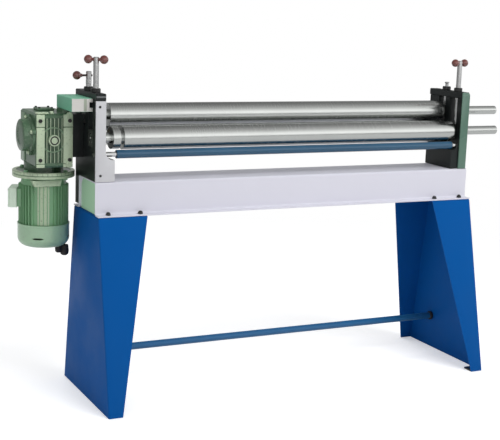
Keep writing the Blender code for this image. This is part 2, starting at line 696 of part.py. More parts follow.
def make_frame(name, outer, inward):
    """Cast side frame: plate, foot, rear lug, two slots, a bush bore and a tie rod bore."""
    low = min(outer, outer + inward * FRAME_THICKNESS)
    high = low + FRAME_THICKNESS
    middle = (low + high) / 2
    outline = [(FRAME_FRONT, FRAME_BASE), (BENCH_DEPTH + GAP, FRAME_BASE),
               (BENCH_DEPTH + GAP, LUG_BOTTOM), (FRAME_DEPTH, LUG_BOTTOM),
               (FRAME_DEPTH, FRAME_TOP)]
    outline += slot_points(UPPER_ROLL_Y, UPPER_BLOCK_WIDTH,
                           UPPER_ROLL_Z - UPPER_BLOCK_HALF_HEIGHT - UPPER_DROP - GAP)
    outline += slot_points(FRONT_ROLL_Y, FRONT_BLOCK_WIDTH,
                           LOWER_ROLL_Z - FRONT_BLOCK_HALF_HEIGHT - GAP)
    outline.append((FRAME_FRONT, FRAME_TOP))
    frame = plate(name, outline, FRAME_THICKNESS, (middle, 0.0, 0.0), "frame_black", FACING_X)
    root = FRAME_THICKNESS / 2
    shift = FRAME_THICKNESS - FOOT_RELIEF
    top = FRAME_FOOT_HEIGHT + FRAME_FOOT_FILLET
    outline = [(root, FOOT_RELIEF), (shift + FRAME_FOOT_REACH, FOOT_RELIEF),
               (shift + FRAME_FOOT_REACH, FRAME_FOOT_HEIGHT)]
    outline += arc((shift + FRAME_FOOT_FILLET, top), FRAME_FOOT_FILLET, 270, 180, 6)
    outline.append((root, top))
    outline = [(inward * across, up) for across, up in outline]
    front = FRAME_FRONT + FOOT_RELIEF
    rear = BENCH_DEPTH - FOOT_RELIEF
    foot = plate(name + "_foot", outline, rear - front, (outer, (front + rear) / 2, FRAME_BASE),
                 rotation=FACING_Y, home=cutters)
    join(frame, foot)
    reach = FRAME_FOOT_REACH + FRAME_THICKNESS
    cut_bore(frame, BUSH_RADIUS + GAP, (low - reach, REAR_ROLL_Y, LOWER_ROLL_Z),
             (high + reach, REAR_ROLL_Y, LOWER_ROLL_Z), ROUND)
    cut_bore(frame, TIE_ROD_JOURNAL + GAP, (low - reach, TIE_ROD_Y, TIE_ROD_Z),
             (high + reach, TIE_ROD_Y, TIE_ROD_Z))
    half = FRAME_THICKNESS / 2
    inner = JOURNAL_RADIUS + GAP
    profile = [(BUSH_RADIUS, half), (BUSH_RADIUS, -half), (inner, -half), (inner, half)]
    side = name.split("_")[0]
    turned(side + "_rear_bush", profile, (middle, REAR_ROLL_Y, LOWER_ROLL_Z), "bronze", "X")


def make_front_plates():
    """Cover plates screwed to the front of the two frames."""
    plate("left_front_plate", front_view(FRAME_TOP - FRAME_BASE), FRONT_PLATE,
          (FRAME_LEFT_INSET, FRONT_PLATE / 2, FRAME_BASE), "plate_grey", FACING_Y)
    height = CAP_TOP - FRAME_BASE
    across = FRAME_THICKNESS
    outline = [(0.0, 0.0), (across, 0.0)]
    outline += arc((across - CORNER_RADIUS, height - CORNER_RADIUS), CORNER_RADIUS, 0, 90, 5)
    outline.append((0.0, height))
    plate("right_front_plate", outline, FRONT_PLATE,
          (RIGHT_IN, FRONT_PLATE / 2, FRAME_BASE), "plate_green", FACING_Y)


def make_cap(name, low, front):
    """Cap plate over a frame's slots, bored for its two setting screws."""
    high = low + FRAME_THICKNESS
    cap = box(name, (low, front, CAP_BOTTOM), (high, FRAME_DEPTH + CAP_OVERHANG, CAP_TOP),
              "frame_black", bevel=EDGE_ROUND)
    middle = (low + high) / 2
    bore = SCREW_RADIUS + GAP
    side = name.split("_")[0]
    for end, along in (("front", FRONT_ROLL_Y), ("rear", UPPER_ROLL_Y)):
        cut_bore(cap, bore, (middle, along, CAP_BOTTOM - PAST), (middle, along, CAP_TOP + PAST))
        profile = [(LOCK_NUT_RADIUS, LOCK_NUT_HEIGHT), (LOCK_NUT_RADIUS, 0.0),
                   (bore, 0.0), (bore, LOCK_NUT_HEIGHT)]
        turned("%s_%s_lock_nut" % (side, end), profile, (middle, along, CAP_TOP + GAP),
               "black_steel", sides=SMALL_ROUND)


def make_block(name, low, middle, height, width, half_height, carrier):
    """Bearing block with a journal bore and a seat for its setting screw."""
    half = width / 2
    block = box(name, (low, middle - half, height - half_height),
                (low + FRAME_THICKNESS, middle + half, height + half_height), "cast_iron",
                parent=carrier)
    cut_bore(block, JOURNAL_RADIUS + GAP, (low - PAST, middle, height),
             (low + FRAME_THICKNESS + PAST, middle, height), ROUND)
    seat = height + half_height - SCREW_SEAT
    cut_bore(block, SCREW_RADIUS + GAP, (low + FRAME_THICKNESS / 2, middle, seat),
             (low + FRAME_THICKNESS / 2, middle, seat + 2 * SCREW_SEAT))


def make_rolls(front_carriage, upper_carriage):
    """The three rolls, each turned in one piece with its journals and stubs."""
    left = LEFT_IN
    right = RIGHT_IN - ROLL_RIGHT_GAP
    flat = ROLL_STEP
    journal = JOURNAL_RADIUS
    body = [(ROLL_RADIUS - flat, right), (ROLL_RADIUS, right - flat)]
    face = left + ROLL_LEFT_GAP
    plain_left = [(ROLL_RADIUS, face + flat), (ROLL_RADIUS - flat, face), (journal, face),
                  (journal, FRAME_LEFT_INSET + GAP), (0.0, FRAME_LEFT_INSET + GAP)]
    upper = [(0.0, UPPER_STUB_END), (STUB_RADIUS, UPPER_STUB_END), (STUB_RADIUS, RIGHT_OUT + GAP),
             (journal, RIGHT_OUT + GAP), (journal, right)] + body + plain_left
    ring_left = left + FRONT_RING_LEFT_GAP
    ring_right = ring_left + FRONT_RING_WIDTH
    front_face = ring_right + FRONT_GROOVE_WIDTH
    end = RIGHT_OUT + FRONT_STUB
    groove = FRONT_GROOVE_RADIUS
    ring = ROLL_RADIUS - FRONT_RING_STEP
    front = [(0.0, end), (STUB_RADIUS, end), (STUB_RADIUS, RIGHT_OUT + GAP),
             (journal, RIGHT_OUT + GAP), (journal, right)] + body
    front += [(ROLL_RADIUS, front_face + flat), (ROLL_RADIUS - flat, front_face),
              (groove, front_face), (groove, ring_right), (ring, ring_right),
              (ring, ring_left), (journal, ring_left),
              (journal, FRAME_LEFT_INSET + GAP), (0.0, FRAME_LEFT_INSET + GAP)]
    tail = GEARBOX_LEFT + TAIL_CLEARANCE
    rear = [(0.0, RIGHT_OUT - GAP), (journal, RIGHT_OUT - GAP), (journal, right)] + body
    rear += [(ROLL_RADIUS, face + flat), (ROLL_RADIUS - flat, face), (journal, face),
             (journal, tail), (0.0, tail)]
    turned("upper_roll", upper, (0.0, UPPER_ROLL_Y, UPPER_ROLL_Z), "roll_steel", "X",
           parent=upper_carriage)
    turned("front_roll", front, (0.0, FRONT_ROLL_Y, LOWER_ROLL_Z), "roll_steel", "X",
           parent=front_carriage)
    turned("rear_roll", rear, (0.0, REAR_ROLL_Y, LOWER_ROLL_Z), "roll_steel", "X")


def ball_mesh():
    """Ball knob."""
    builder = bmesh.new()
    bmesh.ops.create_uvsphere(builder, u_segments=20, v_segments=12, radius=BALL_RADIUS)
    mesh = bpy.data.meshes.new("ball")
    builder.to_mesh(mesh)
    builder.free()
    return round_shading(mesh)


def screw_axis(name, along, middle, base, carrier, turn=0.0):
    """Empty on a setting screw's axis that carries the screw and its knobs."""
    holder = empty(name + "_axis", Vector((along, middle, base)) - carrier.location, carrier)
    holder.rotation_euler = (0.0, 0.0, math.radians(turn))
    return holder


def make_screw(name, place_at, rise, holder, lever_drop, levers):
    """Setting screw; levers lists each ball's reach along X before the screw is turned."""
    along, middle, base = place_at
    top = CAP_TOP + rise
    profile = [(0.0, top - base), (SCREW_RADIUS - SCREW_CHAMFER, top - base),
               (SCREW_RADIUS, top - base - SCREW_CHAMFER), (SCREW_RADIUS, 0.0), (0.0, 0.0)]
    screw = turned(name, profile, place_at, "screw_steel", sides=SMALL_ROUND, parent=holder)
    height = top - lever_drop
    for number, reach in enumerate(levers, start=1):
        direction = math.copysign(1.0, reach)
        near = along + direction * SCREW_RADIUS / 2
        tip = along + reach - direction * BALL_RADIUS / 2
        stem = cylinder(name + "_stem", BALL_STEM_RADIUS, (near, middle, height),
                        (tip, middle, height), sides=TINY_ROUND, parent=holder, home=cutters)
        join(screw, stem)
        ball = place("%s_knob_%d" % (name, number), ball_mesh(), (along + reach, middle, height),
                     "knob_red", holder)
        cut(ball, cylinder(name + "_socket", BALL_STEM_RADIUS + GAP, (near, middle, height),
                           (tip + direction * GAP, middle, height), sides=TINY_ROUND,
                           parent=holder, home=cutters))


def make_pin_screw(name, place_at, holder):
    """Setting screw that ends in a thinner pin with a head, in place of a lever."""
    base = place_at[2]
    top = CAP_TOP + PIN_RISE
    shoulder = CAP_TOP + LOCK_NUT_HEIGHT
    profile = [(0.0, top - base), (PIN_HEAD_RADIUS, top - base),
               (PIN_HEAD_RADIUS, top - base - PIN_HEAD_HEIGHT / 3),
               (PIN_RADIUS, top - base - PIN_HEAD_HEIGHT / 2),
               (PIN_RADIUS, shoulder + 2 * GAP - base), (SCREW_RADIUS, shoulder - base),
               (SCREW_RADIUS, 0.0), (0.0, 0.0)]
    turned(name, profile, place_at, "screw_steel", sides=SMALL_ROUND, parent=holder)


def make_carriages():
    """Bearing blocks, rolls and setting screws that rise and fall together."""
    front = empty("front_carriage", (0.0, FRONT_ROLL_Y, LOWER_ROLL_Z), machine)
    upper = empty("upper_carriage", (0.0, UPPER_ROLL_Y, UPPER_ROLL_Z), machine)
    for side, low in (("left", FRAME_LEFT_INSET), ("right", RIGHT_IN)):
        make_block(side + "_front_block", low, FRONT_ROLL_Y, LOWER_ROLL_Z, FRONT_BLOCK_WIDTH,
                   FRONT_BLOCK_HALF_HEIGHT, front)
        make_block(side + "_upper_block", low, UPPER_ROLL_Y, UPPER_ROLL_Z, UPPER_BLOCK_WIDTH,
                   UPPER_BLOCK_HALF_HEIGHT, upper)
    make_rolls(front, upper)
    left = FRAME_LEFT_INSET + FRAME_THICKNESS / 2
    right = RIGHT_IN + FRAME_THICKNESS / 2
    front_base = LOWER_ROLL_Z + FRONT_BLOCK_HALF_HEIGHT - SCREW_SEAT + GAP
    upper_base = UPPER_ROLL_Z + UPPER_BLOCK_HALF_HEIGHT - SCREW_SEAT + GAP
    reach = SCREW_RADIUS + BALL_NECK + BALL_RADIUS
    for side, along, turn in (("left", left, LEFT_SCREW_TURN), ("right", right, RIGHT_SCREW_TURN)):
        name = side + "_front_screw"
        holder = screw_axis(name, along, FRONT_ROLL_Y, front_base, front, turn)
        make_screw(name, (along, FRONT_ROLL_Y, front_base), FRONT_SCREW_RISE, holder, BALL_DROP,
                   (-reach, reach))
    holder = screw_axis("left_rear_screw", left, UPPER_ROLL_Y, upper_base, upper)
    make_screw("left_rear_screw", (left, UPPER_ROLL_Y, upper_base), REAR_SCREW_RISE, holder,
               SHORT_LEVER_DROP, (-SHORT_LEVER_REACH,))
    holder = screw_axis("right_rear_screw", right, UPPER_ROLL_Y, upper_base, upper)
    make_pin_screw("right_rear_screw", (right, UPPER_ROLL_Y, upper_base), holder)


def make_tie_rod():
    """Painted tie rod in front of the rolls, with bright journals in the frames."""
    left = LEFT_IN + TIE_ROD_LEFT_GAP
    right = RIGHT_IN - TIE_ROD_RIGHT_GAP
    collar = RIGHT_IN - TIE_ROD_RIGHT_GAP * TIE_ROD_COLLAR_PLACE
    wide = TIE_ROD_COLLAR_WIDTH / 2
    journal = TIE_ROD_JOURNAL
    profile = [(0.0, RIGHT_OUT - GAP), (journal, RIGHT_OUT - GAP), (journal, collar + wide),
               (TIE_ROD_COLLAR, collar + wide), (TIE_ROD_COLLAR, collar - wide),
               (journal, collar - wide), (journal, right), (TIE_ROD_RADIUS, right),
               (TIE_ROD_RADIUS, left), (journal, left), (journal, FRAME_LEFT_INSET + GAP),
               (0.0, FRAME_LEFT_INSET + GAP)]
    turned("tie_rod", profile, (0.0, TIE_ROD_Y, TIE_ROD_Z), "rod_blue", "X", SMALL_ROUND)


def wheel_outline():
    """Teeth of the worm wheel, with a tooth gap facing the worm."""
    tip = WHEEL_PITCH_RADIUS + WHEEL_TIP * MODULE
    root = WHEEL_PITCH_RADIUS - WHEEL_ROOT * MODULE
    step = 360.0 / WHEEL_TEETH
    points = []
    for tooth in range(WHEEL_TEETH):
        centre = (tooth + 0.5) * step
        for share, radius in ((-0.30, root), (-0.14, tip), (0.14, tip), (0.30, root)):
            points += arc((0.0, 0.0), radius, centre + share * step, centre + share * step, 1)[:1]
    return points


def worm_mesh():
    """Right-hand worm thread as a surface over height and angle, with plain journals."""
    around = 24
    rows_per_pitch = 10
    root = WORM_PITCH_RADIUS - WORM_ROOT * MODULE
    depth = (WORM_ROOT + WORM_TIP) * MODULE
    rows = int(round(2 * WORM_HALF_LENGTH / WORM_PITCH * rows_per_pitch))
    points = []
    for row in range(rows + 1):
        height = -WORM_HALF_LENGTH + 2 * WORM_HALF_LENGTH * row / rows
        for turn in range(around):
            angle = 2 * math.pi * turn / around
            lead = WORM_PITCH * (angle + math.pi / 2) / (2 * math.pi)
            phase = ((height - lead) / WORM_PITCH + 0.5) % 1.0 - 0.5
            rise = min(1.0, max(0.0, (0.24 - abs(phase)) / 0.12))
            if row in (0, rows):
                rise = 0.0
            radius = root + depth * rise
            points.append((radius * math.cos(angle), radius * math.sin(angle), height))
    faces = [tuple(reversed(range(around)))]
    for row in range(rows):
        for turn in range(around):
            after = (turn + 1) % around
            here = row * around
            faces.append((here + turn, here + after, here + around + after, here + around + turn))
    faces.append(tuple(range(rows * around, (rows + 1) * around)))
    mesh = bpy.data.meshes.new("worm")
    mesh.from_pydata(points, [], faces)
    return round_shading(mesh)


def make_gear_train():
    """Worm wheel on the rear roll's tail, and the worm shaft with the rotor and the fan."""
    wheel = plate("worm_wheel", wheel_outline(), 2 * WHEEL_HALF_WIDTH,
                  (GEARBOX_MIDDLE, REAR_ROLL_Y, LOWER_ROLL_Z), "bronze", FACING_X)
    hub = cylinder("worm_wheel_hub", WHEEL_HUB_RADIUS,
                   (GEARBOX_MIDDLE - WHEEL_HUB_HALF_LENGTH, REAR_ROLL_Y, LOWER_ROLL_Z),
                   (GEARBOX_MIDDLE + WHEEL_HUB_HALF_LENGTH, REAR_ROLL_Y, LOWER_ROLL_Z),
                   sides=ROUND, home=cutters)
    join(wheel, hub)
    cut_bore(wheel, JOURNAL_RADIUS + GAP,
             (GEARBOX_MIDDLE - 2 * WHEEL_HUB_HALF_LENGTH, REAR_ROLL_Y, LOWER_ROLL_Z),
             (GEARBOX_MIDDLE + 2 * WHEEL_HUB_HALF_LENGTH, REAR_ROLL_Y, LOWER_ROLL_Z), ROUND)
    axis = (GEARBOX_MIDDLE, WORM_Y)
    shaft = place("worm_shaft", worm_mesh(), (*axis, LOWER_ROLL_Z), "screw_steel")
    tip = cylinder("worm_tip", WORM_TIP_RADIUS,
                   (*axis, LOWER_ROLL_Z + WORM_HALF_LENGTH - SHAFT_OVERLAP),
                   (*axis, GEARBOX_TOP - TIP_CLEARANCE), home=cutters)
    join(shaft, tip)
    stem = cylinder("worm_stem", SHAFT_RADIUS, (*axis, FAN_TOP - FAN_HEIGHT - SHAFT_END),
                    (*axis, LOWER_ROLL_Z - WORM_HALF_LENGTH + SHAFT_OVERLAP), home=cutters)
    join(shaft, stem)
    middle = (BODY_TOP + BODY_BOTTOM) / 2
    bore = SHAFT_RADIUS + GAP
    half = ROTOR_HALF_LENGTH
    profile = [(ROTOR_RADIUS, half), (ROTOR_RADIUS, -half), (bore, -half), (bore, half)]
    turned("motor_rotor", profile, (*axis, middle), "lamination")
    hub = 2 * SHAFT_RADIUS
    disc = FAN_RADIUS * FAN_DISC
    profile = [(hub, 0.0), (disc, -FAN_SHEET), (disc, -2 * FAN_SHEET), (hub, -2 * FAN_SHEET),
               (hub, -FAN_HEIGHT), (bore, -FAN_HEIGHT), (bore, 0.0)]
    fan = turned("motor_fan", profile, (*axis, FAN_TOP), "fan_black")
    length = FAN_RADIUS - hub + BLADE_ROOT
    for number in range(FAN_BLADES):
        angle = 2 * math.pi * number / FAN_BLADES
        reach = hub - BLADE_ROOT + length / 2
        blade = place("fan_blade_%d" % number,
                      cuboid_mesh((length, FAN_SHEET, FAN_HEIGHT - 2 * BLADE_ROOT)),
                      (axis[0] + math.cos(angle) * reach, axis[1] + math.sin(angle) * reach,
                       FAN_TOP - FAN_HEIGHT / 2 - BLADE_ROOT), None,
                      rotation=(0.0, 0.0, angle), home=cutters)
        join(fan, blade)


def make_gearbox():
    """Worm gearbox: ribbed housing, side cover, worm cover, oil plug and frame adapter."""
    front = GEARBOX_FRONT
    rear = REAR_ROLL_Y + GEARBOX_REAR
    axis = (GEARBOX_MIDDLE, WORM_Y)
    housing = box("gearbox_housing", (GEARBOX_LEFT, front, GEARBOX_BOTTOM),
                  (GEARBOX_RIGHT, rear, GEARBOX_TOP), "machine_green", bevel=GEARBOX_CORNER)
    cut_box(housing, (GEARBOX_LEFT + POST_WIDTH, front - PAST, GEARBOX_BOTTOM + POST_WIDTH / 2),
            (GEARBOX_RIGHT - POST_WIDTH, front + RIB_DEPTH, GEARBOX_TOP - POST_WIDTH / 2))
    span = GEARBOX_RIGHT - GEARBOX_LEFT - 2 * POST_WIDTH
    for number in range(RIB_COUNT):
        middle = GEARBOX_LEFT + POST_WIDTH + span * (number + 0.5) / RIB_COUNT
        rib = box("gearbox_rib_%d" % number,
                  (middle - RIB_WIDTH / 2, front + RIB_SETBACK, GEARBOX_BOTTOM + POST_WIDTH / 4),
                  (middle + RIB_WIDTH / 2, front + RIB_DEPTH + RIB_SETBACK,
                   GEARBOX_TOP - POST_WIDTH / 4), home=cutters)
        join(housing, rib)
    neck = cylinder("gearbox_neck", NECK_RADIUS, (*axis, FLANGE_TOP - FLANGE_THICKNESS / 2),
                    (*axis, GEARBOX_BOTTOM + NECK_OVERLAP), sides=ROUND, home=cutters)
    join(housing, neck)
    disc = cylinder("gearbox_flange_disc", FLANGE_RADIUS,
                    (*axis, FLANGE_TOP - FLANGE_THICKNESS + GAP), (*axis, FLANGE_TOP),
                    sides=ROUND, home=cutters)
    join(housing, disc)
    pad = box("gearbox_pad", (-BRACKET_REACH, front + GEARBOX_CORNER, GEARBOX_TOP - PAST),
              (GEARBOX_RIGHT - GEARBOX_CORNER, BRACKET_REAR, BRACKET_BOTTOM - GAP), home=cutters)
    join(housing, pad)
    deep = GEARBOX_MIDDLE + WHEEL_HUB_HALF_LENGTH + GAP
    cut_bore(housing, CHAMBER_RADIUS, (GEARBOX_LEFT - PAST, REAR_ROLL_Y, LOWER_ROLL_Z),
             (GEARBOX_MIDDLE + WHEEL_HALF_WIDTH + CHAMBER_DEPTH, REAR_ROLL_Y, LOWER_ROLL_Z),
             ROUND)
    cut_bore(housing, WHEEL_HUB_RADIUS + GAP, (GEARBOX_MIDDLE, REAR_ROLL_Y, LOWER_ROLL_Z),
             (deep, REAR_ROLL_Y, LOWER_ROLL_Z), ROUND)
    cut_bore(housing, JOURNAL_RADIUS + GAP, (GEARBOX_MIDDLE, REAR_ROLL_Y, LOWER_ROLL_Z),
             (GEARBOX_RIGHT + PAST, REAR_ROLL_Y, LOWER_ROLL_Z), ROUND)
    worm_tip = WORM_PITCH_RADIUS + WORM_TIP * MODULE
    cut_bore(housing, worm_tip + CHAMBER_CLEARANCE, (*axis, FLANGE_TOP - 2 * FLANGE_THICKNESS),
             (*axis, LOWER_ROLL_Z + WORM_HALF_LENGTH + WORM_HEADROOM), ROUND)
    cut_bore(housing, WORM_TIP_RADIUS + GAP, (*axis, LOWER_ROLL_Z), (*axis, GEARBOX_TOP + PAST))
    flange = COVER_FLANGE_LENGTH
    profile = [(0.0, -COVER_RECESS_DEPTH), (COVER_RECESS_RADIUS, -COVER_RECESS_DEPTH),
               (COVER_RECESS_RADIUS, 0.0), (COVER_FLANGE_RADIUS, 0.0),
               (COVER_FLANGE_RADIUS, -flange), (COVER_RADIUS, -flange),
               (COVER_RADIUS, COVER_CHAMFER - COVER_REACH),
               (COVER_RADIUS - COVER_CHAMFER, -COVER_REACH), (0.0, -COVER_REACH)]
    turned("gearbox_side_cover", profile, (GEARBOX_LEFT - GAP, REAR_ROLL_Y, LOWER_ROLL_Z),
           "machine_green", "X")
    box("gearbox_worm_cover",
        (axis[0] - WORM_COVER_HALF, axis[1] - WORM_COVER_HALF, GEARBOX_TOP + GAP),
        (axis[0] + WORM_COVER_HALF, axis[1] + WORM_COVER_HALF,
         GEARBOX_TOP + GAP + WORM_COVER_THICKNESS), "machine_green", bevel=EDGE_ROUND)
    plug_z = (GEARBOX_TOP + GEARBOX_BOTTOM) / 2
    cylinder("gearbox_oil_plug", PLUG_RADIUS,
             (GEARBOX_MIDDLE, front + RIB_SETBACK - GAP, plug_z),
             (GEARBOX_MIDDLE, front - PLUG_REACH, plug_z), "machine_green")
    adapter = box("gearbox_adapter",
                  (GEARBOX_RIGHT + GAP, front + GEARBOX_CORNER,
                   LOWER_ROLL_Z - ADAPTER_HEIGHT / 2),
                  (FRAME_LEFT_INSET - GAP, FRAME_DEPTH, LOWER_ROLL_Z + ADAPTER_HEIGHT / 2),
                  "frame_black")
    cut_bore(adapter, ADAPTER_BORE, (GEARBOX_RIGHT - PAST, REAR_ROLL_Y, LOWER_ROLL_Z),
             (FRAME_LEFT_INSET + PAST, REAR_ROLL_Y, LOWER_ROLL_Z), ROUND)
    bracket = box("torque_bracket", (-BRACKET_REACH, BRACKET_FRONT, BRACKET_BOTTOM),
                  (FRAME_LEFT_INSET - GAP, BRACKET_REAR, BRACKET_BOTTOM + BRACKET_HEIGHT),
                  "bracket_green", bevel=EDGE_ROUND)
    middle = BRACKET_BOTTOM + BRACKET_HEIGHT / 2
    cut_box(bracket, (FRAME_LEFT_INSET - BRACKET_NOTCH_DEPTH, BRACKET_FRONT - PAST,
                      middle - BRACKET_NOTCH_HEIGHT / 2),
            (FRAME_LEFT_INSET + PAST, BRACKET_REAR + PAST, middle + BRACKET_NOTCH_HEIGHT / 2))


def fin_outline():
    """Section of the finned motor body."""
    points = []
    for fin in range(FIN_COUNT):
        middle = 360.0 * (fin + 0.25) / FIN_COUNT
        low = math.degrees(math.asin(FIN_WIDTH / 2 / BODY_RADIUS))
        high = math.degrees(math.asin(FIN_WIDTH / 2 / FIN_RADIUS))
        for angle, radius in ((middle - low, BODY_RADIUS), (middle - high, FIN_RADIUS),
                              (middle + high, FIN_RADIUS), (middle + low, BODY_RADIUS)):
            points += arc((0.0, 0.0), radius, angle, angle, 1)[:1]
    return points


def make_motor():
    """Vertical flange motor: end shields, finned body, fan cowl and terminal box."""
    axis = (GEARBOX_MIDDLE, WORM_Y)
    bore = SHAFT_RADIUS + GAP
    top = FLANGE_TOP - FLANGE_THICKNESS
    step = top - FLANGE_THICKNESS
    low = BODY_TOP + GAP
    profile = [(FLANGE_RADIUS, top), (FLANGE_RADIUS, step),
               (SHIELD_RADIUS - 2 * SHIELD_CHAMFER, step), (SHIELD_RADIUS, low + SHIELD_CHAMFER),
               (SHIELD_RADIUS, low), (bore, low), (bore, top)]
    turned("motor_flange_shield", profile, (*axis, 0.0), "machine_green")
    holder = empty("terminal_axis", (*axis, 0.0), machine)
    holder.rotation_euler = (0.0, 0.0, TERMINAL_ANGLE)
    body = plate("motor_body", fin_outline(), BODY_LENGTH,
                 (*axis, (BODY_TOP + BODY_BOTTOM) / 2), "machine_green", parent=holder)
    half_height = BOX_HEIGHT / 2 - PAD_INSET / 2
    box_middle = BOX_BOTTOM + BOX_HEIGHT / 2
    half_depth = BOX_HALF_DEPTH - PAD_INSET
    pad = box("motor_box_pad",
              (axis[0] - PAD_REACH, axis[1] - half_depth, box_middle - half_height),
              (axis[0] - (BODY_RADIUS + STATOR_BORE) / 2, axis[1] + half_depth,
               box_middle + half_height), parent=holder, home=cutters)
    cut_bore(body, STATOR_BORE, (*axis, BODY_BOTTOM - PAST), (*axis, BODY_TOP + PAST), ROUND)
    join(body, pad)
    rim = BODY_BOTTOM - GAP
    low = rim - REAR_SHIELD_THICKNESS
    wide = COWL_RADIUS - COWL_WALL - GAP
    profile = [(wide, rim), (wide, low), (bore, low), (bore, rim)]
    turned("motor_rear_shield", profile, (*axis, 0.0), "machine_green")
    bottom = COWL_BOTTOM
    corner = COWL_CORNER
    outside = [(COWL_RADIUS, rim)]
    outside += arc((COWL_RADIUS - corner, bottom + corner), corner, 0, -90, 5)
    outside.append((0.0, bottom))
    inside = [(0.0, bottom + COWL_WALL)]
    inside += arc((COWL_RADIUS - corner, bottom + corner), corner - COWL_WALL, -90, 0, 5)
    inside.append((COWL_RADIUS - COWL_WALL, rim))
    cowl = turned("motor_fan_cowl", inside + outside, (*axis, 0.0), "machine_green")
    for number in range(COWL_SLOTS):
        angle = 2 * math.pi * (number + 0.5) / COWL_SLOTS
        slot = place("cowl_slot_%d" % number,
                     cuboid_mesh((COWL_SLOT_LENGTH, COWL_SLOT_WIDTH, 2 * PAST)),
                     (axis[0] + COWL_SLOT_PLACE * math.cos(angle),
                      axis[1] + COWL_SLOT_PLACE * math.sin(angle), bottom),
                     None, rotation=(0.0, 0.0, angle), home=cutters)
        cut(cowl, slot)
    front = axis[1] - BOX_HALF_DEPTH
    rear = axis[1] + BOX_HALF_DEPTH
    terminal = box("terminal_box", (BOX_LEFT, front, BOX_BOTTOM),
                   (BOX_RIGHT, rear, BOX_BOTTOM + BOX_HEIGHT), "machine_green", parent=holder)
    cut(terminal, box("terminal_hollow",
                      (BOX_LEFT - PAST, front + BOX_WALL, BOX_BOTTOM + BOX_WALL),
                      (BOX_RIGHT - BOX_WALL, rear - BOX_WALL,
                       BOX_BOTTOM + BOX_HEIGHT - BOX_WALL), parent=holder, home=cutters))
    gland_x = (BOX_LEFT + BOX_RIGHT) / 2
    cut(terminal, cylinder("gland_hole", GLAND_BORE + GLAND_THREAD,
                           (gland_x, rear - PAST, box_middle),
                           (gland_x, rear + PAST, box_middle), parent=holder, home=cutters))
    box("terminal_box_lid", (LID_LEFT, front, BOX_BOTTOM),
        (LID_LEFT + LID_THICKNESS, rear, BOX_BOTTOM + BOX_HEIGHT), "machine_green",
        bevel=EDGE_ROUND, parent=holder)
    half = GLAND_LENGTH / 2
    profile = [(GLAND_RADIUS, half), (GLAND_RADIUS, 0.0), (GLAND_RADIUS * GLAND_TAPER, -half),
               (GLAND_BORE, -half), (GLAND_BORE, half)]
    gland = turned("cable_gland", profile, (gland_x, rear + GAP + half, box_middle),
                   "black_steel", sides=TINY_ROUND, parent=holder)
    gland.rotation_euler = (math.pi / 2, 0.0, 0.0)


make_bench()
make_leg("left_leg", 0.0, 1.0)
make_leg("right_leg", BENCH_LENGTH, -1.0)
make_foot("left_foot_plate", 0.0, 1.0)
make_foot("right_foot_plate", BENCH_LENGTH, -1.0)
make_bench_bolts()
make_brace()
make_frame("left_frame", FRAME_LEFT_INSET, 1.0)
make_frame("right_frame", RIGHT_OUT, -1.0)
make_front_plates()
make_cap("left_cap", FRAME_LEFT_INSET, 0.0)
make_cap("right_cap", RIGHT_IN, FRAME_FRONT)
make_carriages()
make_tie_rod()
make_gear_train()
make_gearbox()
make_motor()
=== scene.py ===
import math

import bmesh
import bpy
from mathutils import Matrix, Vector


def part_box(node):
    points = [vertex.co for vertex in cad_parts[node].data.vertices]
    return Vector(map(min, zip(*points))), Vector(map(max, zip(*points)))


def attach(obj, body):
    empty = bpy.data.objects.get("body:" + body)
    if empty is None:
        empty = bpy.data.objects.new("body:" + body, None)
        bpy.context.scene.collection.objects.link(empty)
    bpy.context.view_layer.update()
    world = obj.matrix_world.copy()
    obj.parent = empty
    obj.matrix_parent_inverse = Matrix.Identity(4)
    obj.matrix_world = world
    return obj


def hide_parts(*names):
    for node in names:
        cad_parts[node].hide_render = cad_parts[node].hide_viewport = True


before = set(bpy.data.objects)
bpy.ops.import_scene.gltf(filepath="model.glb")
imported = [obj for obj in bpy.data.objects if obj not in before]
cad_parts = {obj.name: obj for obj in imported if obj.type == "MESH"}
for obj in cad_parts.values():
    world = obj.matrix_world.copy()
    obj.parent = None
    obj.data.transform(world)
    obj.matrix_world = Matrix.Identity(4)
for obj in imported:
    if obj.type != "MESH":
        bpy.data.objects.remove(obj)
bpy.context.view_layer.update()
bench_low, bench_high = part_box("bench_beam")
left_end = bench_low.x
lip_front, lip_rear = 0.0334, 0.05
front_face = bench_low.y + lip_front


def spot(across, deep, up):
    """A place measured from the bench's left end, its front face and the floor."""
    return Vector((left_end + across, front_face + deep, up))


# Camera and studio
# A pale floor, a white surround, a large soft lamp high in front of the machine and weaker ones
# behind it and on its left. The camera stands low at the left, as in the photograph.
view_yaw, view_pitch, view_roll = 0.4619, 0.1865, 0.0359
forward = Vector((math.sin(view_yaw) * math.cos(view_pitch),
                  math.cos(view_yaw) * math.cos(view_pitch), -math.sin(view_pitch)))
level_right = Vector((math.cos(view_yaw), -math.sin(view_yaw), 0.0))
level_up = level_right.cross(forward)
camera_right = math.cos(view_roll) * level_right + math.sin(view_roll) * level_up
camera_up = -math.sin(view_roll) * level_right + math.cos(view_roll) * level_up
camera_data = bpy.data.cameras.new("camera")
film_width, focal_points, picture_points = 36.0, 1169.48, 500.0
camera_data.sensor_width = film_width
camera_data.lens = film_width * focal_points / picture_points
camera_data.clip_end = 60.0


def add_object(name, data):
    """New object in the scene."""
    thing = bpy.data.objects.new(name, data)
    bpy.context.scene.collection.objects.link(thing)
    return thing


camera = add_object("camera", camera_data)
camera_turn = Matrix((camera_right, camera_up, -forward)).transposed().to_4x4()
camera.matrix_world = Matrix.Translation(spot(-1.197, -3.5204, 1.3261)) @ camera_turn
bpy.context.scene.camera = camera
bpy.context.scene.view_settings.view_transform = "Standard"


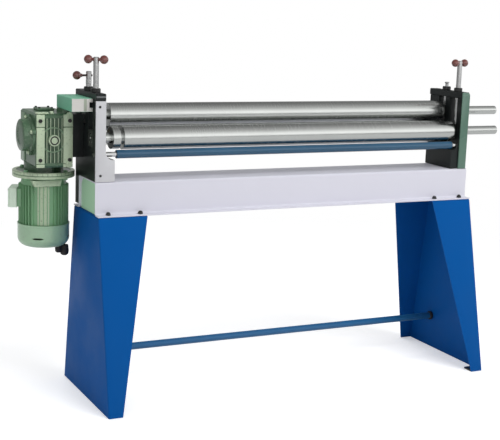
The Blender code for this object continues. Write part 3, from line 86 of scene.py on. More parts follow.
def feed(node, *entries, **named):
    """Sets a node's options and entries; an entry is a value, a node or (node, output)."""
    sockets = list(enumerate(entries))
    for name, value in named.items():
        if name.islower():
            setattr(node, name, value)
        else:
            sockets.append((name.replace("_", " "), value))
    for socket, value in sockets:
        source = value if isinstance(value, tuple) else (value, 0)
        if isinstance(source[0], bpy.types.Node):
            node.id_data.links.new(source[0].outputs[source[1]], node.inputs[socket])
        else:
            node.inputs[socket].default_value = value
    return node


def add_node(tree, kind, *entries, **named):
    """New node in a tree, with its options and entries."""
    return feed(tree.nodes.new(kind), *entries, **named)


world = bpy.data.worlds.new("studio")
bpy.context.scene.world = world
world.use_nodes = True
sky = world.node_tree
sky.nodes.clear()
rays = add_node(sky, "ShaderNodeLightPath")
direction = add_node(sky, "ShaderNodeTexCoord")
split = add_node(sky, "ShaderNodeSeparateXYZ", (direction, "Generated"))
height = add_node(sky, "ShaderNodeMapRange", (split, "Z"), From_Min=-1.0)
bands = add_node(sky, "ShaderNodeValToRGB", height)
bands.color_ramp.elements[0].color = (0.17, 0.17, 0.17, 1.0)
bands.color_ramp.elements[1].color = (0.21, 0.21, 0.21, 1.0)
for share, level in ((0.4, 0.5), (0.5, 0.78), (0.59, 1.0), (0.66, 0.87), (0.74, 0.68),
                     (0.86, 0.41), (0.94, 0.29)):
    stop = bands.color_ramp.elements.new(share)
    stop.color = (level, level, level, 1.0)
behind = add_node(sky, "ShaderNodeMapRange", (split, "Y"), From_Min=-0.25, From_Max=0.65,
                  To_Min=1.75, To_Max=0.4)
beside = add_node(sky, "ShaderNodeMapRange", (split, "X"), From_Min=-0.9, From_Max=-0.35,
                  To_Min=0.35, To_Max=1.0)
shade = add_node(sky, "ShaderNodeMath", behind, beside, operation="MULTIPLY")
ambient = add_node(sky, "ShaderNodeBackground", (0.97, 0.98, 1.0, 1.0), 0.4)
mirror_room = add_node(sky, "ShaderNodeBackground", bands, shade)
white = add_node(sky, "ShaderNodeBackground", (1.0, 1.0, 1.0, 1.0))
shiny = add_node(sky, "ShaderNodeMath", (rays, "Is Glossy Ray"), (rays, "Is Transmission Ray"),
                 operation="MAXIMUM")
mixed = add_node(sky, "ShaderNodeMixShader", shiny, ambient, mirror_room)
seen = add_node(sky, "ShaderNodeMixShader", (rays, "Is Camera Ray"), mixed, white)
add_node(sky, "ShaderNodeOutputWorld", seen)


def soft_lamp(name, place, target, size, power):
    """Square lamp that points at a place; shiny parts mirror the surround in its stead."""
    data = bpy.data.lights.new(name, "AREA")
    data.size = size
    data.energy = power
    lamp = add_object(name, data)
    lamp.location = place
    lamp.rotation_euler = (target - place).to_track_quat("-Z", "Y").to_euler()
    lamp.visible_glossy = False


soft_lamp("high_front", spot(1.96, -3.46, 4.81), spot(0.7, 0.0, 0.72), 3.0, 208.0)
soft_lamp("left_fill", spot(-3.6, -1.2, 1.5), spot(0.0, 0.1, 0.7), 2.5, 19.0)
soft_lamp("high_rear", spot(0.2, 4.2, 3.6), spot(0.7, 0.1, 0.72), 3.0, 105.0)


def mesh_of(builder, outward=True):
    """Mesh made from a builder, which is freed."""
    mesh = bpy.data.meshes.new("shape")
    if outward:
        bmesh.ops.recalc_face_normals(builder, faces=builder.faces)
    builder.to_mesh(mesh)
    builder.free()
    return mesh


floor_builder = bmesh.new()
bmesh.ops.create_grid(floor_builder, x_segments=1, y_segments=1, size=20.0)
floor_mesh = mesh_of(floor_builder, outward=False)
floor = add_object("floor", floor_mesh)
floor.location.z = -0.0005
pale = bpy.data.materials.new("pale_floor")
pale.use_nodes = True
ground = pale.node_tree
ground.nodes.clear()
matte = add_node(ground, "ShaderNodeBsdfDiffuse", (0.8, 0.8, 0.8, 1.0))
lift = add_node(ground, "ShaderNodeEmission", Strength=0.42)
blank = add_node(ground, "ShaderNodeEmission")
floor_place = add_node(ground, "ShaderNodeTexCoord")
far_off = add_node(ground, "ShaderNodeVectorMath", (floor_place, "Object"), operation="LENGTH")
fade = add_node(ground, "ShaderNodeMapRange", (far_off, "Value"), From_Min=0.9, From_Max=3.0,
                interpolation_type="SMOOTHSTEP")
clear = add_node(ground, "ShaderNodeLightPath")
both = add_node(ground, "ShaderNodeAddShader", matte, lift)
whiter = add_node(ground, "ShaderNodeMixShader", fade, both, blank)
plain = add_node(ground, "ShaderNodeMixShader", (clear, "Is Camera Ray"), matte, whiter)
add_node(ground, "ShaderNodeOutputMaterial", plain)
floor_mesh.materials.append(pale)


def new_material(name):
    """Material that goes with one slot of the part, and its shader."""
    material = bpy.data.materials.new(name)
    material.use_nodes = True
    return material, material.node_tree, material.node_tree.nodes["Principled BSDF"]


def sprayed_paint(name, colour, roughness, grain=900.0, relief=0.02, drift=0.05, coat=0.0,
                  speck=None, shine=0.5):
    """Sprayed enamel: orange-peel relief, slow drift of the tone and rubbed, duller patches."""
    material, tree, shader = new_material(name)
    place = (add_node(tree, "ShaderNodeTexCoord"), "Object")
    slow = add_node(tree, "ShaderNodeTexNoise", place, Scale=5.0, Detail=5.0)
    tone = add_node(tree, "ShaderNodeMix", data_type="RGBA", Factor=slow,
                    A=(*[c * (1.0 - drift) for c in colour], 1.0),
                    B=(*[min(1.0, c * (1.0 + drift)) for c in colour], 1.0))
    peel = add_node(tree, "ShaderNodeTexNoise", place, Scale=grain, Detail=2.0)
    bump = add_node(tree, "ShaderNodeBump", Strength=relief * 10.0, Distance=0.0002, Height=peel)
    rubbed = add_node(tree, "ShaderNodeMapRange", slow, From_Min=0.35, From_Max=0.7,
                      To_Min=roughness * 0.85, To_Max=roughness * 1.25)
    if speck:
        fine = add_node(tree, "ShaderNodeTexNoise", place, Scale=160.0, Detail=6.0)
        dust = add_node(tree, "ShaderNodeMapRange", fine, From_Min=0.56, From_Max=0.74,
                        To_Max=0.55)
        tone = add_node(tree, "ShaderNodeMix", data_type="RGBA", Factor=dust, A=(tone, "Result"),
                        B=(*speck, 1.0))
    feed(shader, Base_Color=(tone, "Result"), Roughness=rubbed, Normal=bump,
         Specular_IOR_Level=shine, Coat_Weight=coat, Coat_Roughness=0.12)
    return material


def coloured(piece, material):
    """Gives a piece one material and the slot that goes with it."""
    piece.data.materials.clear()
    piece.data.materials.append(material)
    for face in piece.data.polygons:
        face.material_index = 0


def finished(name, mesh, material, *nodes, body="machine"):
    """Adds a finished mesh, shaded smooth up to an angle, and lets it ride on its body."""
    mesh.shade_smooth()
    mesh.set_sharp_from_angle(angle=math.radians(35.0))
    piece = add_object(name, mesh)
    coloured(piece, material)
    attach(piece, body)
    if nodes:
        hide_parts(*nodes)
    return piece


def solved(mesh, *modifiers):
    """Mesh with modifiers applied; each one is (kind, {setting: value})."""
    holder = add_object("holder", mesh)
    for kind, settings in modifiers:
        step = holder.modifiers.new(kind.lower(), kind)
        for setting, value in settings.items():
            if hasattr(step, setting):
                setattr(step, setting, value)
            else:
                step[setting] = value
    bpy.context.view_layer.update()
    view = bpy.context.evaluated_depsgraph_get()
    result = bpy.data.meshes.new_from_object(holder.evaluated_get(view))
    bpy.data.objects.remove(holder, do_unlink=True)
    return result


def sheet_bend(before, corner, after, radius, count):
    """Points of a rounded bend between two straight runs of sheet."""
    come = (before - corner).normalized()
    leave = (after - corner).normalized()
    half_angle = come.angle(leave) / 2.0
    centre = corner + (come + leave).normalized() * radius / math.sin(half_angle)
    first = (corner + come * radius / math.tan(half_angle) - centre).normalized()
    last = (corner + leave * radius / math.tan(half_angle) - centre).normalized()
    return [centre + radius * first.slerp(last, step / count) for step in range(count + 1)]


lilac_white = sprayed_paint("lilac_white_enamel", (0.685, 0.68, 0.755), 0.42,
                            relief=0.015, drift=0.02)
sheet_gauge = 0.004
wall_gap = bench_high.y - bench_low.y - lip_front - lip_rear
beam_base = bench_low.z
beam_height = bench_high.z - bench_low.z
fold_corners = [Vector((-lip_front, sheet_gauge)), Vector((0.0, sheet_gauge)),
                Vector((0.0, beam_height)), Vector((wall_gap, beam_height)),
                Vector((wall_gap, sheet_gauge)), Vector((wall_gap + lip_rear, sheet_gauge))]
fold_path = [fold_corners[0]]
for before, corner, after in zip(fold_corners, fold_corners[1:], fold_corners[2:]):
    fold_path += sheet_bend(before, corner, after, 0.007, 8)
fold_path.append(fold_corners[-1])
beam_builder = bmesh.new()
beam_rows = []
for end in (bench_low.x, bench_high.x):
    beam_rows.append([beam_builder.verts.new((end, front_face + point.x, beam_base + point.y))
                      for point in fold_path])
for index in range(len(fold_path) - 1):
    beam_builder.faces.new((beam_rows[0][index], beam_rows[1][index], beam_rows[1][index + 1],
                            beam_rows[0][index + 1]))
thick_sheet = (("SOLIDIFY", {"thickness": sheet_gauge, "offset": -1.0, "use_even_offset": True}),
               ("BEVEL", {"width": 0.0005, "segments": 2, "limit_method": "ANGLE",
                          "angle_limit": math.radians(60)}))
beam_mesh = solved(mesh_of(beam_builder, outward=False), *thick_sheet)
finished("beam_sheet", beam_mesh, lilac_white, "bench_beam")

# End panels
# A flat plate with cut corners set into each end of the beam. Its grey-green is painted shade and a
# painted reflection of the green motor; the plate itself is white.
end_panel_reflected_green = sprayed_paint("grey_green_enamel", (0.46, 0.72, 0.49), 0.48,
                           drift=0.12)


def dressed(material, *nodes):
    """Nodes whose shapes are right keep their meshes and get their finish."""
    for node in nodes:
        coloured(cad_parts[node], material)


dressed(end_panel_reflected_green, "left_end_panel", "right_end_panel")

# Legs
# Each leg is one folded sheet of steel: a side plate that widens to the floor, a front and a
# rear flange and a top flange, sprayed in a bright blue.
leg_blue = sprayed_paint("bright_blue_enamel", (0.0, 0.086, 0.33), 0.55, relief=0.02,
                         drift=0.04, shine=0.12)


leg_lean, fold_radius, flange_top, flange_foot = 0.0055, 0.0055, 0.168, 0.0486


def folded_leg(node, inward):
    """Leg with rounded folds between its four flat sides."""
    low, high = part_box(node)
    top = high.z
    outer = left_end if inward > 0.0 else bench_high.x
    splay = outer - inward * leg_lean
    front, rear = front_face - lip_front, bench_high.y
    corners = [Vector((outer, front, top)), Vector((outer, rear, top)),
               Vector((splay, high.y, 0.0)), Vector((splay, low.y, 0.0)),
               Vector((outer + inward * flange_top, front, top)),
               Vector((splay + inward * flange_foot, low.y, 0.0)),
               Vector((outer + inward * flange_top, rear, top)),
               Vector((splay + inward * flange_foot, high.y, 0.0))]
    builder = bmesh.new()
    verts = [builder.verts.new(corner) for corner in corners]
    for ring in ((0, 1, 2, 3), (4, 0, 3, 5), (1, 6, 7, 2), (0, 4, 6, 1)):
        builder.faces.new([verts[index] for index in ring])
    bmesh.ops.recalc_face_normals(builder, faces=builder.faces)
    side = max(builder.faces, key=lambda face: abs(face.normal.x))
    if side.normal.x * inward > 0.0:
        bmesh.ops.reverse_faces(builder, faces=builder.faces)
    folds = [edge for edge in builder.edges if len(edge.link_faces) == 2]
    bmesh.ops.bevel(builder, geom=folds, offset=fold_radius, segments=5, profile=0.5,
                    affect="EDGES")
    mesh = solved(mesh_of(builder, outward=False), *thick_sheet)
    for vertex in mesh.vertices:
        vertex.co.z = min(max(vertex.co.z, 0.0), top)
    return mesh


for side, inward in (("left", 1.0), ("right", -1.0)):
    finished(side + "_leg_sheet", folded_leg(side + "_leg", inward), leg_blue, side + "_leg")

# Foot plates
# A small dark plate welded inside the foot of each front flange, with a hole for a floor bolt.
dark_steel = sprayed_paint("blackened_steel", (0.012, 0.012, 0.012), 0.42,
                           grain=1400.0, drift=0.25)
dressed(dark_steel, "left_foot_plate", "right_foot_plate")


# Bench bolts
# Black domed bolts through the beam's front lip into the legs, two at each end.
def aimed(thing, axis, place):
    """Mesh or builder made round the upright axis, turned to an axis and moved to a place."""
    turn = Vector((0.0, 0.0, 1.0)).rotation_difference(Vector(axis)).to_matrix().to_4x4()
    thing.transform(Matrix.Translation(place) @ turn)
    return thing


def turned_part(profile, axis=(0, 0, 1), place=(0, 0, 0), sides=48):
    """Turned solid; profile runs as (radius, along) from one end of the axis to the other."""
    builder = bmesh.new()
    rings = []
    for radius, along in profile:
        if radius < 1e-7:
            rings.append([builder.verts.new((0.0, 0.0, along))])
        else:
            rings.append([builder.verts.new((radius * math.cos(math.tau * side / sides),
                                             radius * math.sin(math.tau * side / sides), along))
                          for side in range(sides)])
    for near, far in zip(rings, rings[1:]):
        for side in range(sides):
            after = (side + 1) % sides
            loop = []
            for ring in (near, far):
                picks = (side, after) if ring is near else (after, side)
                loop += [ring[0]] if len(ring) == 1 else [ring[pick] for pick in picks]
            builder.faces.new(loop)
    if len(rings[0]) > 1 and len(rings[-1]) > 1:
        for side in range(sides):
            after = (side + 1) % sides
            builder.faces.new((rings[-1][side], rings[-1][after], rings[0][after],
                               rings[0][side]))
    return mesh_of(aimed(builder, axis, place))


def ring_profile(inner, outer, bottom, top, ease=0.0):
    """Profile of a ring or a disc; its outer edges are eased if wanted."""
    outline = [(outer, bottom), (outer, top)]
    if ease:
        outline = [(outer - ease, bottom), (outer, bottom + ease), (outer, top - ease),
                   (outer - ease, top)]
    return [(inner, bottom), *outline, (inner, top)]


def joined(*meshes):
    """One mesh made of several."""
    builder = bmesh.new()
    for mesh in meshes:
        builder.from_mesh(mesh)
    return mesh_of(builder, outward=False)


def arc_points(across, up, radius, start, end, count):
    """Points on an arc in a profile; angles in degrees."""
    return [(across + radius * math.cos(math.radians(start + (end - start) * step / count)),
             up + radius * math.sin(math.radians(start + (end - start) * step / count)))
            for step in range(count + 1)]


bolt_radius, shank_radius, head_height, skirt, ease = 0.0085, 0.004, 0.011, 0.0015, 0.0005
for side in ("left", "right"):
    for number in (1, 2):
        node = "%s_bench_bolt_%d" % (side, number)
        low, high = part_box(node)
        middle = (low + high) / 2.0
        seat = high.z - head_height
        tip = low.z - seat
        dome = [(0.0, tip), (shank_radius - ease, tip), (shank_radius, tip + ease),
                (shank_radius, 0.0), (bolt_radius - ease, 0.0), (bolt_radius, ease)]
        for angle in range(0, 90, 10):
            slope = math.radians(angle)
            dome.append((bolt_radius * math.cos(slope),
                         skirt + (head_height - skirt) * math.sin(slope)))
        dome.append((0.0, head_height))
        bolt = turned_part(dome, place=Vector((middle.x, middle.y, seat)), sides=32)
        finished(node + "_turned", bolt, dark_steel, node)

# Weld nuts
# Hexagon nuts welded under each leg's top flange, two to a leg, which the bench bolts screw into.
def new_tree(title, *sizes):
    """Geometry Nodes tree with named sizes (name, kind, value); its result goes into finish."""
    tree = bpy.data.node_groups.new(title, "GeometryNodeTree")
    for name, kind, value in (("Geometry", "Geometry", None), *sizes, ("Finish", "Material", None)):
        socket = tree.interface.new_socket(name, in_out="INPUT", socket_type="NodeSocket" + kind)
        if value is not None:
            socket.default_value = value
    tree.interface.new_socket("Geometry", in_out="OUTPUT", socket_type="NodeSocketGeometry")
    given = tree.nodes.new("NodeGroupInput")
    finish = add_node(tree, "GeometryNodeSetMaterial", Material=(given, "Finish"))
    add_node(tree, "NodeGroupOutput", finish)
    return tree, given, finish


row_tree, given, finish = new_tree(
    "parts in rows", ("Columns", "Int", 2), ("Rows", "Int", 1),
    ("Column Step", "Vector", (0.1, 0.0, 0.0)), ("Row Step", "Vector", (0.0, 0.0, 0.1)))
number = add_node(row_tree, "GeometryNodeInputIndex")
columns = (given, "Columns")
total = add_node(row_tree, "ShaderNodeMath", columns, (given, "Rows"), operation="MULTIPLY")
column = add_node(row_tree, "ShaderNodeMath", number, columns, operation="FLOORED_MODULO")
share = add_node(row_tree, "ShaderNodeMath", number, columns, operation="DIVIDE")
row = add_node(row_tree, "ShaderNodeMath", share, operation="FLOOR")
along = add_node(row_tree, "ShaderNodeVectorMath", (given, "Column Step"), Scale=column,
                 operation="SCALE")
across = add_node(row_tree, "ShaderNodeVectorMath", (given, "Row Step"), Scale=row,
                  operation="SCALE")
place = add_node(row_tree, "ShaderNodeVectorMath", along, across, operation="ADD")
points = add_node(row_tree, "GeometryNodePoints", total, place)
copies = add_node(row_tree, "GeometryNodeInstanceOnPoints", points, Instance=(given, "Geometry"))
feed(finish, add_node(row_tree, "GeometryNodeRealizeInstances", copies))


def grown(mesh, tree, material, **sizes):
    """Plain mesh that a tree makes from a mesh, with the tree's named sizes set."""
    settings = {"node_group": tree}
    for socket in tree.interface.items_tree:
        wanted = sizes.get(socket.name.replace(" ", "_"))
        if socket.name == "Finish":
            wanted = material
        if wanted is not None:
            settings[socket.identifier] = wanted
    return solved(mesh, ("NODES", settings))


def shifted(mesh, place):
    """Mesh moved to a place."""
    mesh.transform(Matrix.Translation(place))
    return mesh


def in_rows(name, part, material, place, columns, step, rows=1, row_step=(0.0, 0.0, 0.0)):
    """Adds copies of a part that stand in rows from a place, as one piece."""
    copies = grown(part, row_tree, material, Columns=columns, Column_Step=step, Rows=rows,
                   Row_Step=row_step)
    finished(name, shifted(copies, place), material)


nut_radius, nut_height, nut_bottom = 0.0075, 0.0065, 0.6137
for side, first_bolt in (("left", 0.0385), ("right", 1.3014)):
    nut = turned_part([(0.0046, 0.0), (nut_radius - 0.0006, 0.0), (nut_radius, 0.0006),
                       (nut_radius, nut_height), (0.0046, nut_height)], sides=6)
    in_rows(side + "_leg_weld_nuts", nut, leg_blue, spot(first_bolt, -0.0167, nut_bottom), 2,
            (0.1101, 0.0, 0.0))


# Brace
# Round tube across the legs near the floor, painted blue, with a round nut at each end.
brace_blue = sprayed_paint("deep_blue_enamel", (0.012, 0.105, 0.25), 0.4,
                           drift=0.1)
low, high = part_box("brace_tube")
middle = (low + high) / 2.0
reach = (high.x - low.x) / 2.0
tube = turned_part(ring_profile(0.0105, 0.0125, -reach, reach), (1, 0, 0), middle, 40)
finished("brace_pipe", tube, brace_blue, "brace_tube")
for node in ("brace_nut_left", "brace_nut_right"):
    low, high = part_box(node)
    middle = (low + high) / 2.0
    reach, radius = (high.x - low.x) / 2.0, (high.z - low.z) / 2.0
    profile = ring_profile(0.0, radius, -reach, reach, 0.002)
    finished(node + "_turned", turned_part(profile, (1, 0, 0), middle, 40), dark_steel, node)

# Side frames
# Thick cast plates with a foot to the inside, slots for the bearing blocks and a bored seat for
# the bush, sprayed black. Two hexagon bolts hold the lug at each one's rear.
frame_black = sprayed_paint("black_enamel", (0.009, 0.012, 0.012), 0.4,
                            relief=0.03, drift=0.3, coat=0.1, shine=0.25)
dressed(frame_black, "left_frame", "right_frame")


def socket_screw(head, height, recess, facing, deep=0.6):
    """Screw head with a socket; it stands on the origin and faces one way."""
    return turned_part([(0.0, 0.0), (head, 0.0), (head, height - 0.12 * head),
                        (head * 0.97, height - 0.04 * head), (head * 0.9, height),
                        (recess, height), (recess * 0.94, height * (1.0 - deep)),
                        (0.0, height * (1.0 - deep))], facing, sides=28)


def hexagon_bolt(size, facing):
    """Hexagon head on a washer; it stands on the origin and faces one way."""
    washer = turned_part([(0.0, 0.0), (size * 1.25, 0.0), (size * 1.25, size * 0.16),
                          (size * 1.2, size * 0.2), (0.0, size * 0.2)], facing, sides=32)
    head = turned_part([(0.0, size * 0.2), (size, size * 0.2), (size, size * 0.75),
                        (size * 0.86, size * 0.88), (0.0, size * 0.88)], facing, sides=6)
    return joined(washer, head)


frame_middles = {"left": 0.017, "right": 1.428}
for side, across in frame_middles.items():
    in_rows(side + "_lug_bolts", hexagon_bolt(0.0075, (0, 1, 0)), dark_steel,
            spot(across, 0.205, 0.664), 2, (0.0, 0.0, 0.042))

# Bearing blocks and bushes
# Cast iron blocks that slide in the frames' slots and carry the front and the upper roll, and
# bronze bushes for the driven roll.


def turned_metal(name, colour, roughness, axis="X", lines=0.06):
    """Turned or ground metal with fine rings round its axis and faint stains."""
    material, tree, shader = new_material(name)
    place = (add_node(tree, "ShaderNodeTexCoord"), "Object")
    scale = {"X": (900.0, 14.0, 14.0), "Z": (14.0, 14.0, 900.0)}[axis]
    stretch = add_node(tree, "ShaderNodeMapping", place, Scale=scale)
    rings = add_node(tree, "ShaderNodeTexNoise", stretch, Scale=1.0, Detail=3.0)
    cloud = add_node(tree, "ShaderNodeTexNoise", place, Scale=9.0, Detail=6.0)
    tone = add_node(tree, "ShaderNodeMix", data_type="RGBA", Factor=cloud, A=(*colour, 1.0),
                    B=(*[c * 0.86 for c in colour], 1.0))
    gloss = add_node(tree, "ShaderNodeMapRange", rings, From_Min=0.3, From_Max=0.7,
                     To_Min=roughness * 0.8, To_Max=roughness * 1.3)
    bump = add_node(tree, "ShaderNodeBump", Strength=lines, Distance=0.0001, Height=rings)
    feed(shader, Metallic=1.0, Base_Color=(tone, "Result"), Roughness=gloss, Normal=bump)
    return material


block_iron = turned_metal("machined_iron", (0.16, 0.165, 0.16), 0.45, "Z", 0.1)
bush_bronze = turned_metal("bronze", (0.52, 0.33, 0.13), 0.35, "X")
dressed(block_iron, "left_front_block", "right_front_block", "left_upper_block",
        "right_upper_block")
dressed(bush_bronze, "left_rear_bush", "right_rear_bush")

# Front cover plates
# Flat plates screwed to the frames' fronts: a light grey one with a foot on the left, a narrow
# green one with a round corner on the right.
plate_grey = sprayed_paint("light_grey_enamel", (0.58, 0.58, 0.6), 0.4,
                           relief=0.01, drift=0.03)
plate_green = sprayed_paint("bottle_green_enamel", (0.085, 0.17, 0.125), 0.3,
                            relief=0.02, drift=0.15, coat=0.4)


def flat_shape(outline, thickness, place, bevel):
    """Upright outline facing the front, given a thickness to both sides, with eased edges."""
    builder = bmesh.new()
    base = builder.faces.new([builder.verts.new((across, up, -thickness / 2.0))
                              for across, up in outline])
    lifted = bmesh.ops.extrude_face_region(builder, geom=[base])
    moved = [item for item in lifted["geom"] if isinstance(item, bmesh.types.BMVert)]
    bmesh.ops.translate(builder, vec=(0.0, 0.0, thickness), verts=moved)
    bmesh.ops.recalc_face_normals(builder, faces=builder.faces)
    if bevel:
        rims = [edge for edge in builder.edges if edge.calc_face_angle(0.0) > math.radians(40)
                and abs(edge.verts[0].co.z - edge.verts[1].co.z) < 1e-6]
        bmesh.ops.bevel(builder, geom=rims, offset=bevel, segments=3, profile=0.5,
                        affect="EDGES")
    builder.transform(Matrix.Translation(place) @ Matrix.Rotation(math.pi / 2.0, 4, "X"))
    return mesh_of(builder)


neck, foot_height, fillet, corner = 0.034, 0.07, 0.027, 0.012
for side, paint, ease in (("left", plate_grey, 0.0008), ("right", plate_green, 0.0026)):
    node = side + "_front_plate"
    low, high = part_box(node)
    wide, tall = high.x - low.x, high.z - low.z
    if side == "left":
        inner_edge = [(wide, foot_height), *arc_points(neck + fillet, foot_height + fillet,
                                                       fillet, 270, 180, 12), (neck, tall)]
    else:
        inner_edge = arc_points(wide - corner, tall - corner, corner, 0, 90, 10)
    plate = flat_shape([(0.0, 0.0), (wide, 0.0), *inner_edge, (0.0, tall)], high.y - low.y,
                       Vector((low.x, (low.y + high.y) / 2.0, low.z)), ease)
    finished(side + "_cover_plate", plate, paint, node)
in_rows("left_plate_screws", socket_screw(0.004, 0.0016, 0.0019, (0, -1, 0), 0.9), dark_steel,
        spot(0.013, 0.0, 0.975), 2, (0.0038, 0.0, -0.2203))

# Cap plates
# Black plates bolted over the frames' slots and bored for the setting screws. A thin grey shim
# shows in the middle of the left one's front edge.
dressed(frame_black, "left_cap", "right_cap")
cap_top = 1.0163
for side, first_deep in (("left", 0.018), ("right", 0.024)):
    in_rows(side + "_cap_screws", socket_screw(0.0052, 0.0012, 0.0027, (0, 0, 1), 0.9),
            dark_steel, spot(frame_middles[side], first_deep, cap_top), 3, (0.0, 0.0735, 0.0))


def eased_block(low, high, ease, segments=2):
    """Block between two corners with its edges eased."""
    builder = bmesh.new()
    bmesh.ops.create_cube(builder, size=1.0)
    size = high - low
    builder.transform(Matrix.Translation((low + high) / 2.0) @ Matrix.Diagonal((*size, 1.0)))
    if ease:
        bmesh.ops.bevel(builder, geom=list(builder.edges), offset=ease, segments=segments,
                        profile=0.5, affect="EDGES")
    return mesh_of(builder)


shim_grey = sprayed_paint("shim_grey", (0.13, 0.14, 0.14), 0.5, drift=0.15)
shim = eased_block(spot(0.0008, -0.0005, 1.0035), spot(0.0332, 0.0004, 1.009), 0.0002)
finished("left_cap_shim", shim, shim_grey)

# Lock nuts
# Round black nuts that hold the setting screws on the cap plates.
for node in ("left_front_lock_nut", "left_rear_lock_nut", "right_front_lock_nut",
             "right_rear_lock_nut"):
    low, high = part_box(node)
    middle = (low + high) / 2.0
    radius, half_height = (high.x - low.x) / 2.0, (high.z - low.z) / 2.0
    profile = [(0.0093, -half_height), (radius - 0.001, -half_height),
               (radius, 0.001 - half_height), (radius, half_height - 0.002),
               (radius - 0.002, half_height), (0.0103, half_height),
               (0.0093, half_height - 0.001)]
    finished(node + "_turned", turned_part(profile, place=middle, sides=40), dark_steel, node)

# Rolls
# Three ground steel rolls, each turned in one piece with its journals. The front one has a
# narrow ring and a groove at its left end for wired edges.
roll_steel = turned_metal("ground_steel", (0.56, 0.575, 0.56), 0.22, "X", 0.005)


roll_radius, journal, stub, chamfer = 0.0385, 0.017, 0.016, 0.0006
centre_radius, centre_depth = 0.0036, 0.005
inner_left, inner_right, outer_right = left_end + 0.034, left_end + 1.411, left_end + 1.4453
face_left, face_right = inner_left + 0.047, inner_right - 0.014
ring_left, ring_right = inner_left + 0.033, inner_left + 0.0595
ring_radius, groove_radius, groove_right = 0.0365, 0.0226, ring_right + 0.011


def ground_roll(node, body, deep, height, left_steps, stubbed=True):
    """Adds a roll turned from (radius, along) steps, with a small chamfer at every shoulder."""
    low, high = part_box(node)
    steps = [(0.0, low.x + centre_depth), (centre_radius, low.x), (journal, low.x), *left_steps,
             (roll_radius, face_right), (journal, face_right)]
    if stubbed:
        steps += [(journal, outer_right), (stub, outer_right), (stub, high.x),
                  (centre_radius, high.x), (0.0, high.x - centre_depth)]
    else:
        steps += [(journal, high.x), (0.0, high.x)]
    eased = [steps[0]]
    for before, (radius, along), after in zip(steps, steps[1:], steps[2:]):
        if abs(before[1] - along) < 1e-9 and before[0] < radius:
            eased += [(radius - chamfer, along), (radius, along + chamfer)]
        elif abs(after[1] - along) < 1e-9 and after[0] < radius:
            eased += [(radius, along - chamfer), (radius - chamfer, along)]
        else:
            eased.append((radius, along))
    eased.append(steps[-1])
    mesh = turned_part(eased, (1, 0, 0), Vector((0.0, front_face + deep, height)), 96)
    finished(node + "_ground", mesh, roll_steel, node, body=body)


plain_face = [(journal, face_left), (roll_radius, face_left)]
ringed_face = [(journal, ring_left), (ring_radius, ring_left), (ring_radius, ring_right),
               (groove_radius, ring_right), (groove_radius, groove_right),
               (roll_radius, groove_right)]
ground_roll("upper_roll", "upper_roll", 0.1275, 0.938, plain_face)
ground_roll("front_roll", "front_roll", 0.055, 0.87, ringed_face)
ground_roll("rear_roll", "driven_roll", 0.1775, 0.87, plain_face, stubbed=False)

# Tie rod
# Blue painted rod in front of the rolls that ties the two frames together. Its journals and the
# collar beside the right frame are bright turned steel.
rod_blue = sprayed_paint("rod_blue_enamel", (0.01, 0.075, 0.15), 0.2, drift=0.25,
                         coat=0.3)
rod_y, rod_z = 0.022, 0.8205
painted_left, painted_right, rod_radius = 0.076, 1.386, 0.014
painted = turned_part(ring_profile(0.0078, rod_radius, painted_left, painted_right, 0.001),
                      (1, 0, 0), spot(0.0, rod_y, rod_z))
finished("tie_rod_painted", painted, rod_blue, "tie_rod")
rod_journal, collar_left, collar_right = 0.008, 1.39075, 1.39875
bright = turned_metal("bright_steel", (0.66, 0.665, 0.66), 0.2, "X", 0.02)
rod_ends = turned_part([(0.0, 0.0003), (rod_journal - 0.001, 0.0003), (rod_journal, 0.0013),
                        (rod_journal, collar_left), (0.01, collar_left),
                        (0.0105, collar_left + 0.0005), (0.0105, collar_right - 0.0005),
                        (0.01, collar_right), (rod_journal, collar_right),
                        (rod_journal, 1.4437), (rod_journal - 0.001, 1.4447), (0.0, 1.4447)],
                       (1, 0, 0), spot(0.0, rod_y, rod_z), 40)
finished("tie_rod_journals", rod_ends, bright)

# Setting screws and knobs
# Bright turned screws through the cap plates press on the bearing blocks. A dark cross bar with
# glossy red-brown ball knobs turns each one; the right rear one ends in a plain pin.
screw_steel = turned_metal("screw_bright_steel", (0.68, 0.685, 0.68), 0.16, "Z",
                           0.02)
knob_red = sprayed_paint("red_brown_plastic", (0.15, 0.04, 0.032), 0.22, relief=0.0,
                         drift=0.15, coat=0.8)
bar_dark = sprayed_paint("browned_bar", (0.03, 0.016, 0.013), 0.35, grain=1400.0,
                         drift=0.2)
screw_radius, ball_radius, stem_radius = 0.009, 0.014, 0.0035


def threaded(root, lead, depth, bottom, turns, axis_place):
    """Shallow trapezoid thread round an upright axis, closed at both ends."""
    builder = bmesh.new()
    around, per_turn = 36, 10
    rows = []
    for level in range(turns * per_turn + 1):
        height = level / per_turn
        ring = []
        for side in range(around):
            phase = (height - side / around) % 1.0
            flank = min(1.0, max(0.0, (abs(phase - 0.5) - 0.14) / 0.14))
            radius = root + depth * flank
            angle = math.tau * side / around
            ring.append(builder.verts.new((radius * math.cos(angle), radius * math.sin(angle),
                                           bottom + height * lead)))
        rows.append(ring)
    for below, above in zip(rows, rows[1:]):
        for side in range(around):
            after = (side + 1) % around
            builder.faces.new((below[side], below[after], above[after], above[side]))
    builder.faces.new(list(reversed(rows[0])))
    builder.faces.new(rows[-1])
    builder.transform(Matrix.Translation(axis_place))
    return mesh_of(builder)


def ball_knob(place, facing):
    """Ball with a short flared neck; facing points from the screw to the ball."""
    profile = [(0.0, -ball_radius - 0.0035), (0.0052, -ball_radius - 0.0035),
               (0.0058, -ball_radius - 0.0025), (0.005, -ball_radius + 0.0006)]
    profile += [(ball_radius * math.sin(math.radians(a)), -ball_radius * math.cos(math.radians(a)))
                for a in range(20, 180, 8)]
    profile.append((0.0, ball_radius))
    return turned_part(profile, facing, place, 40)


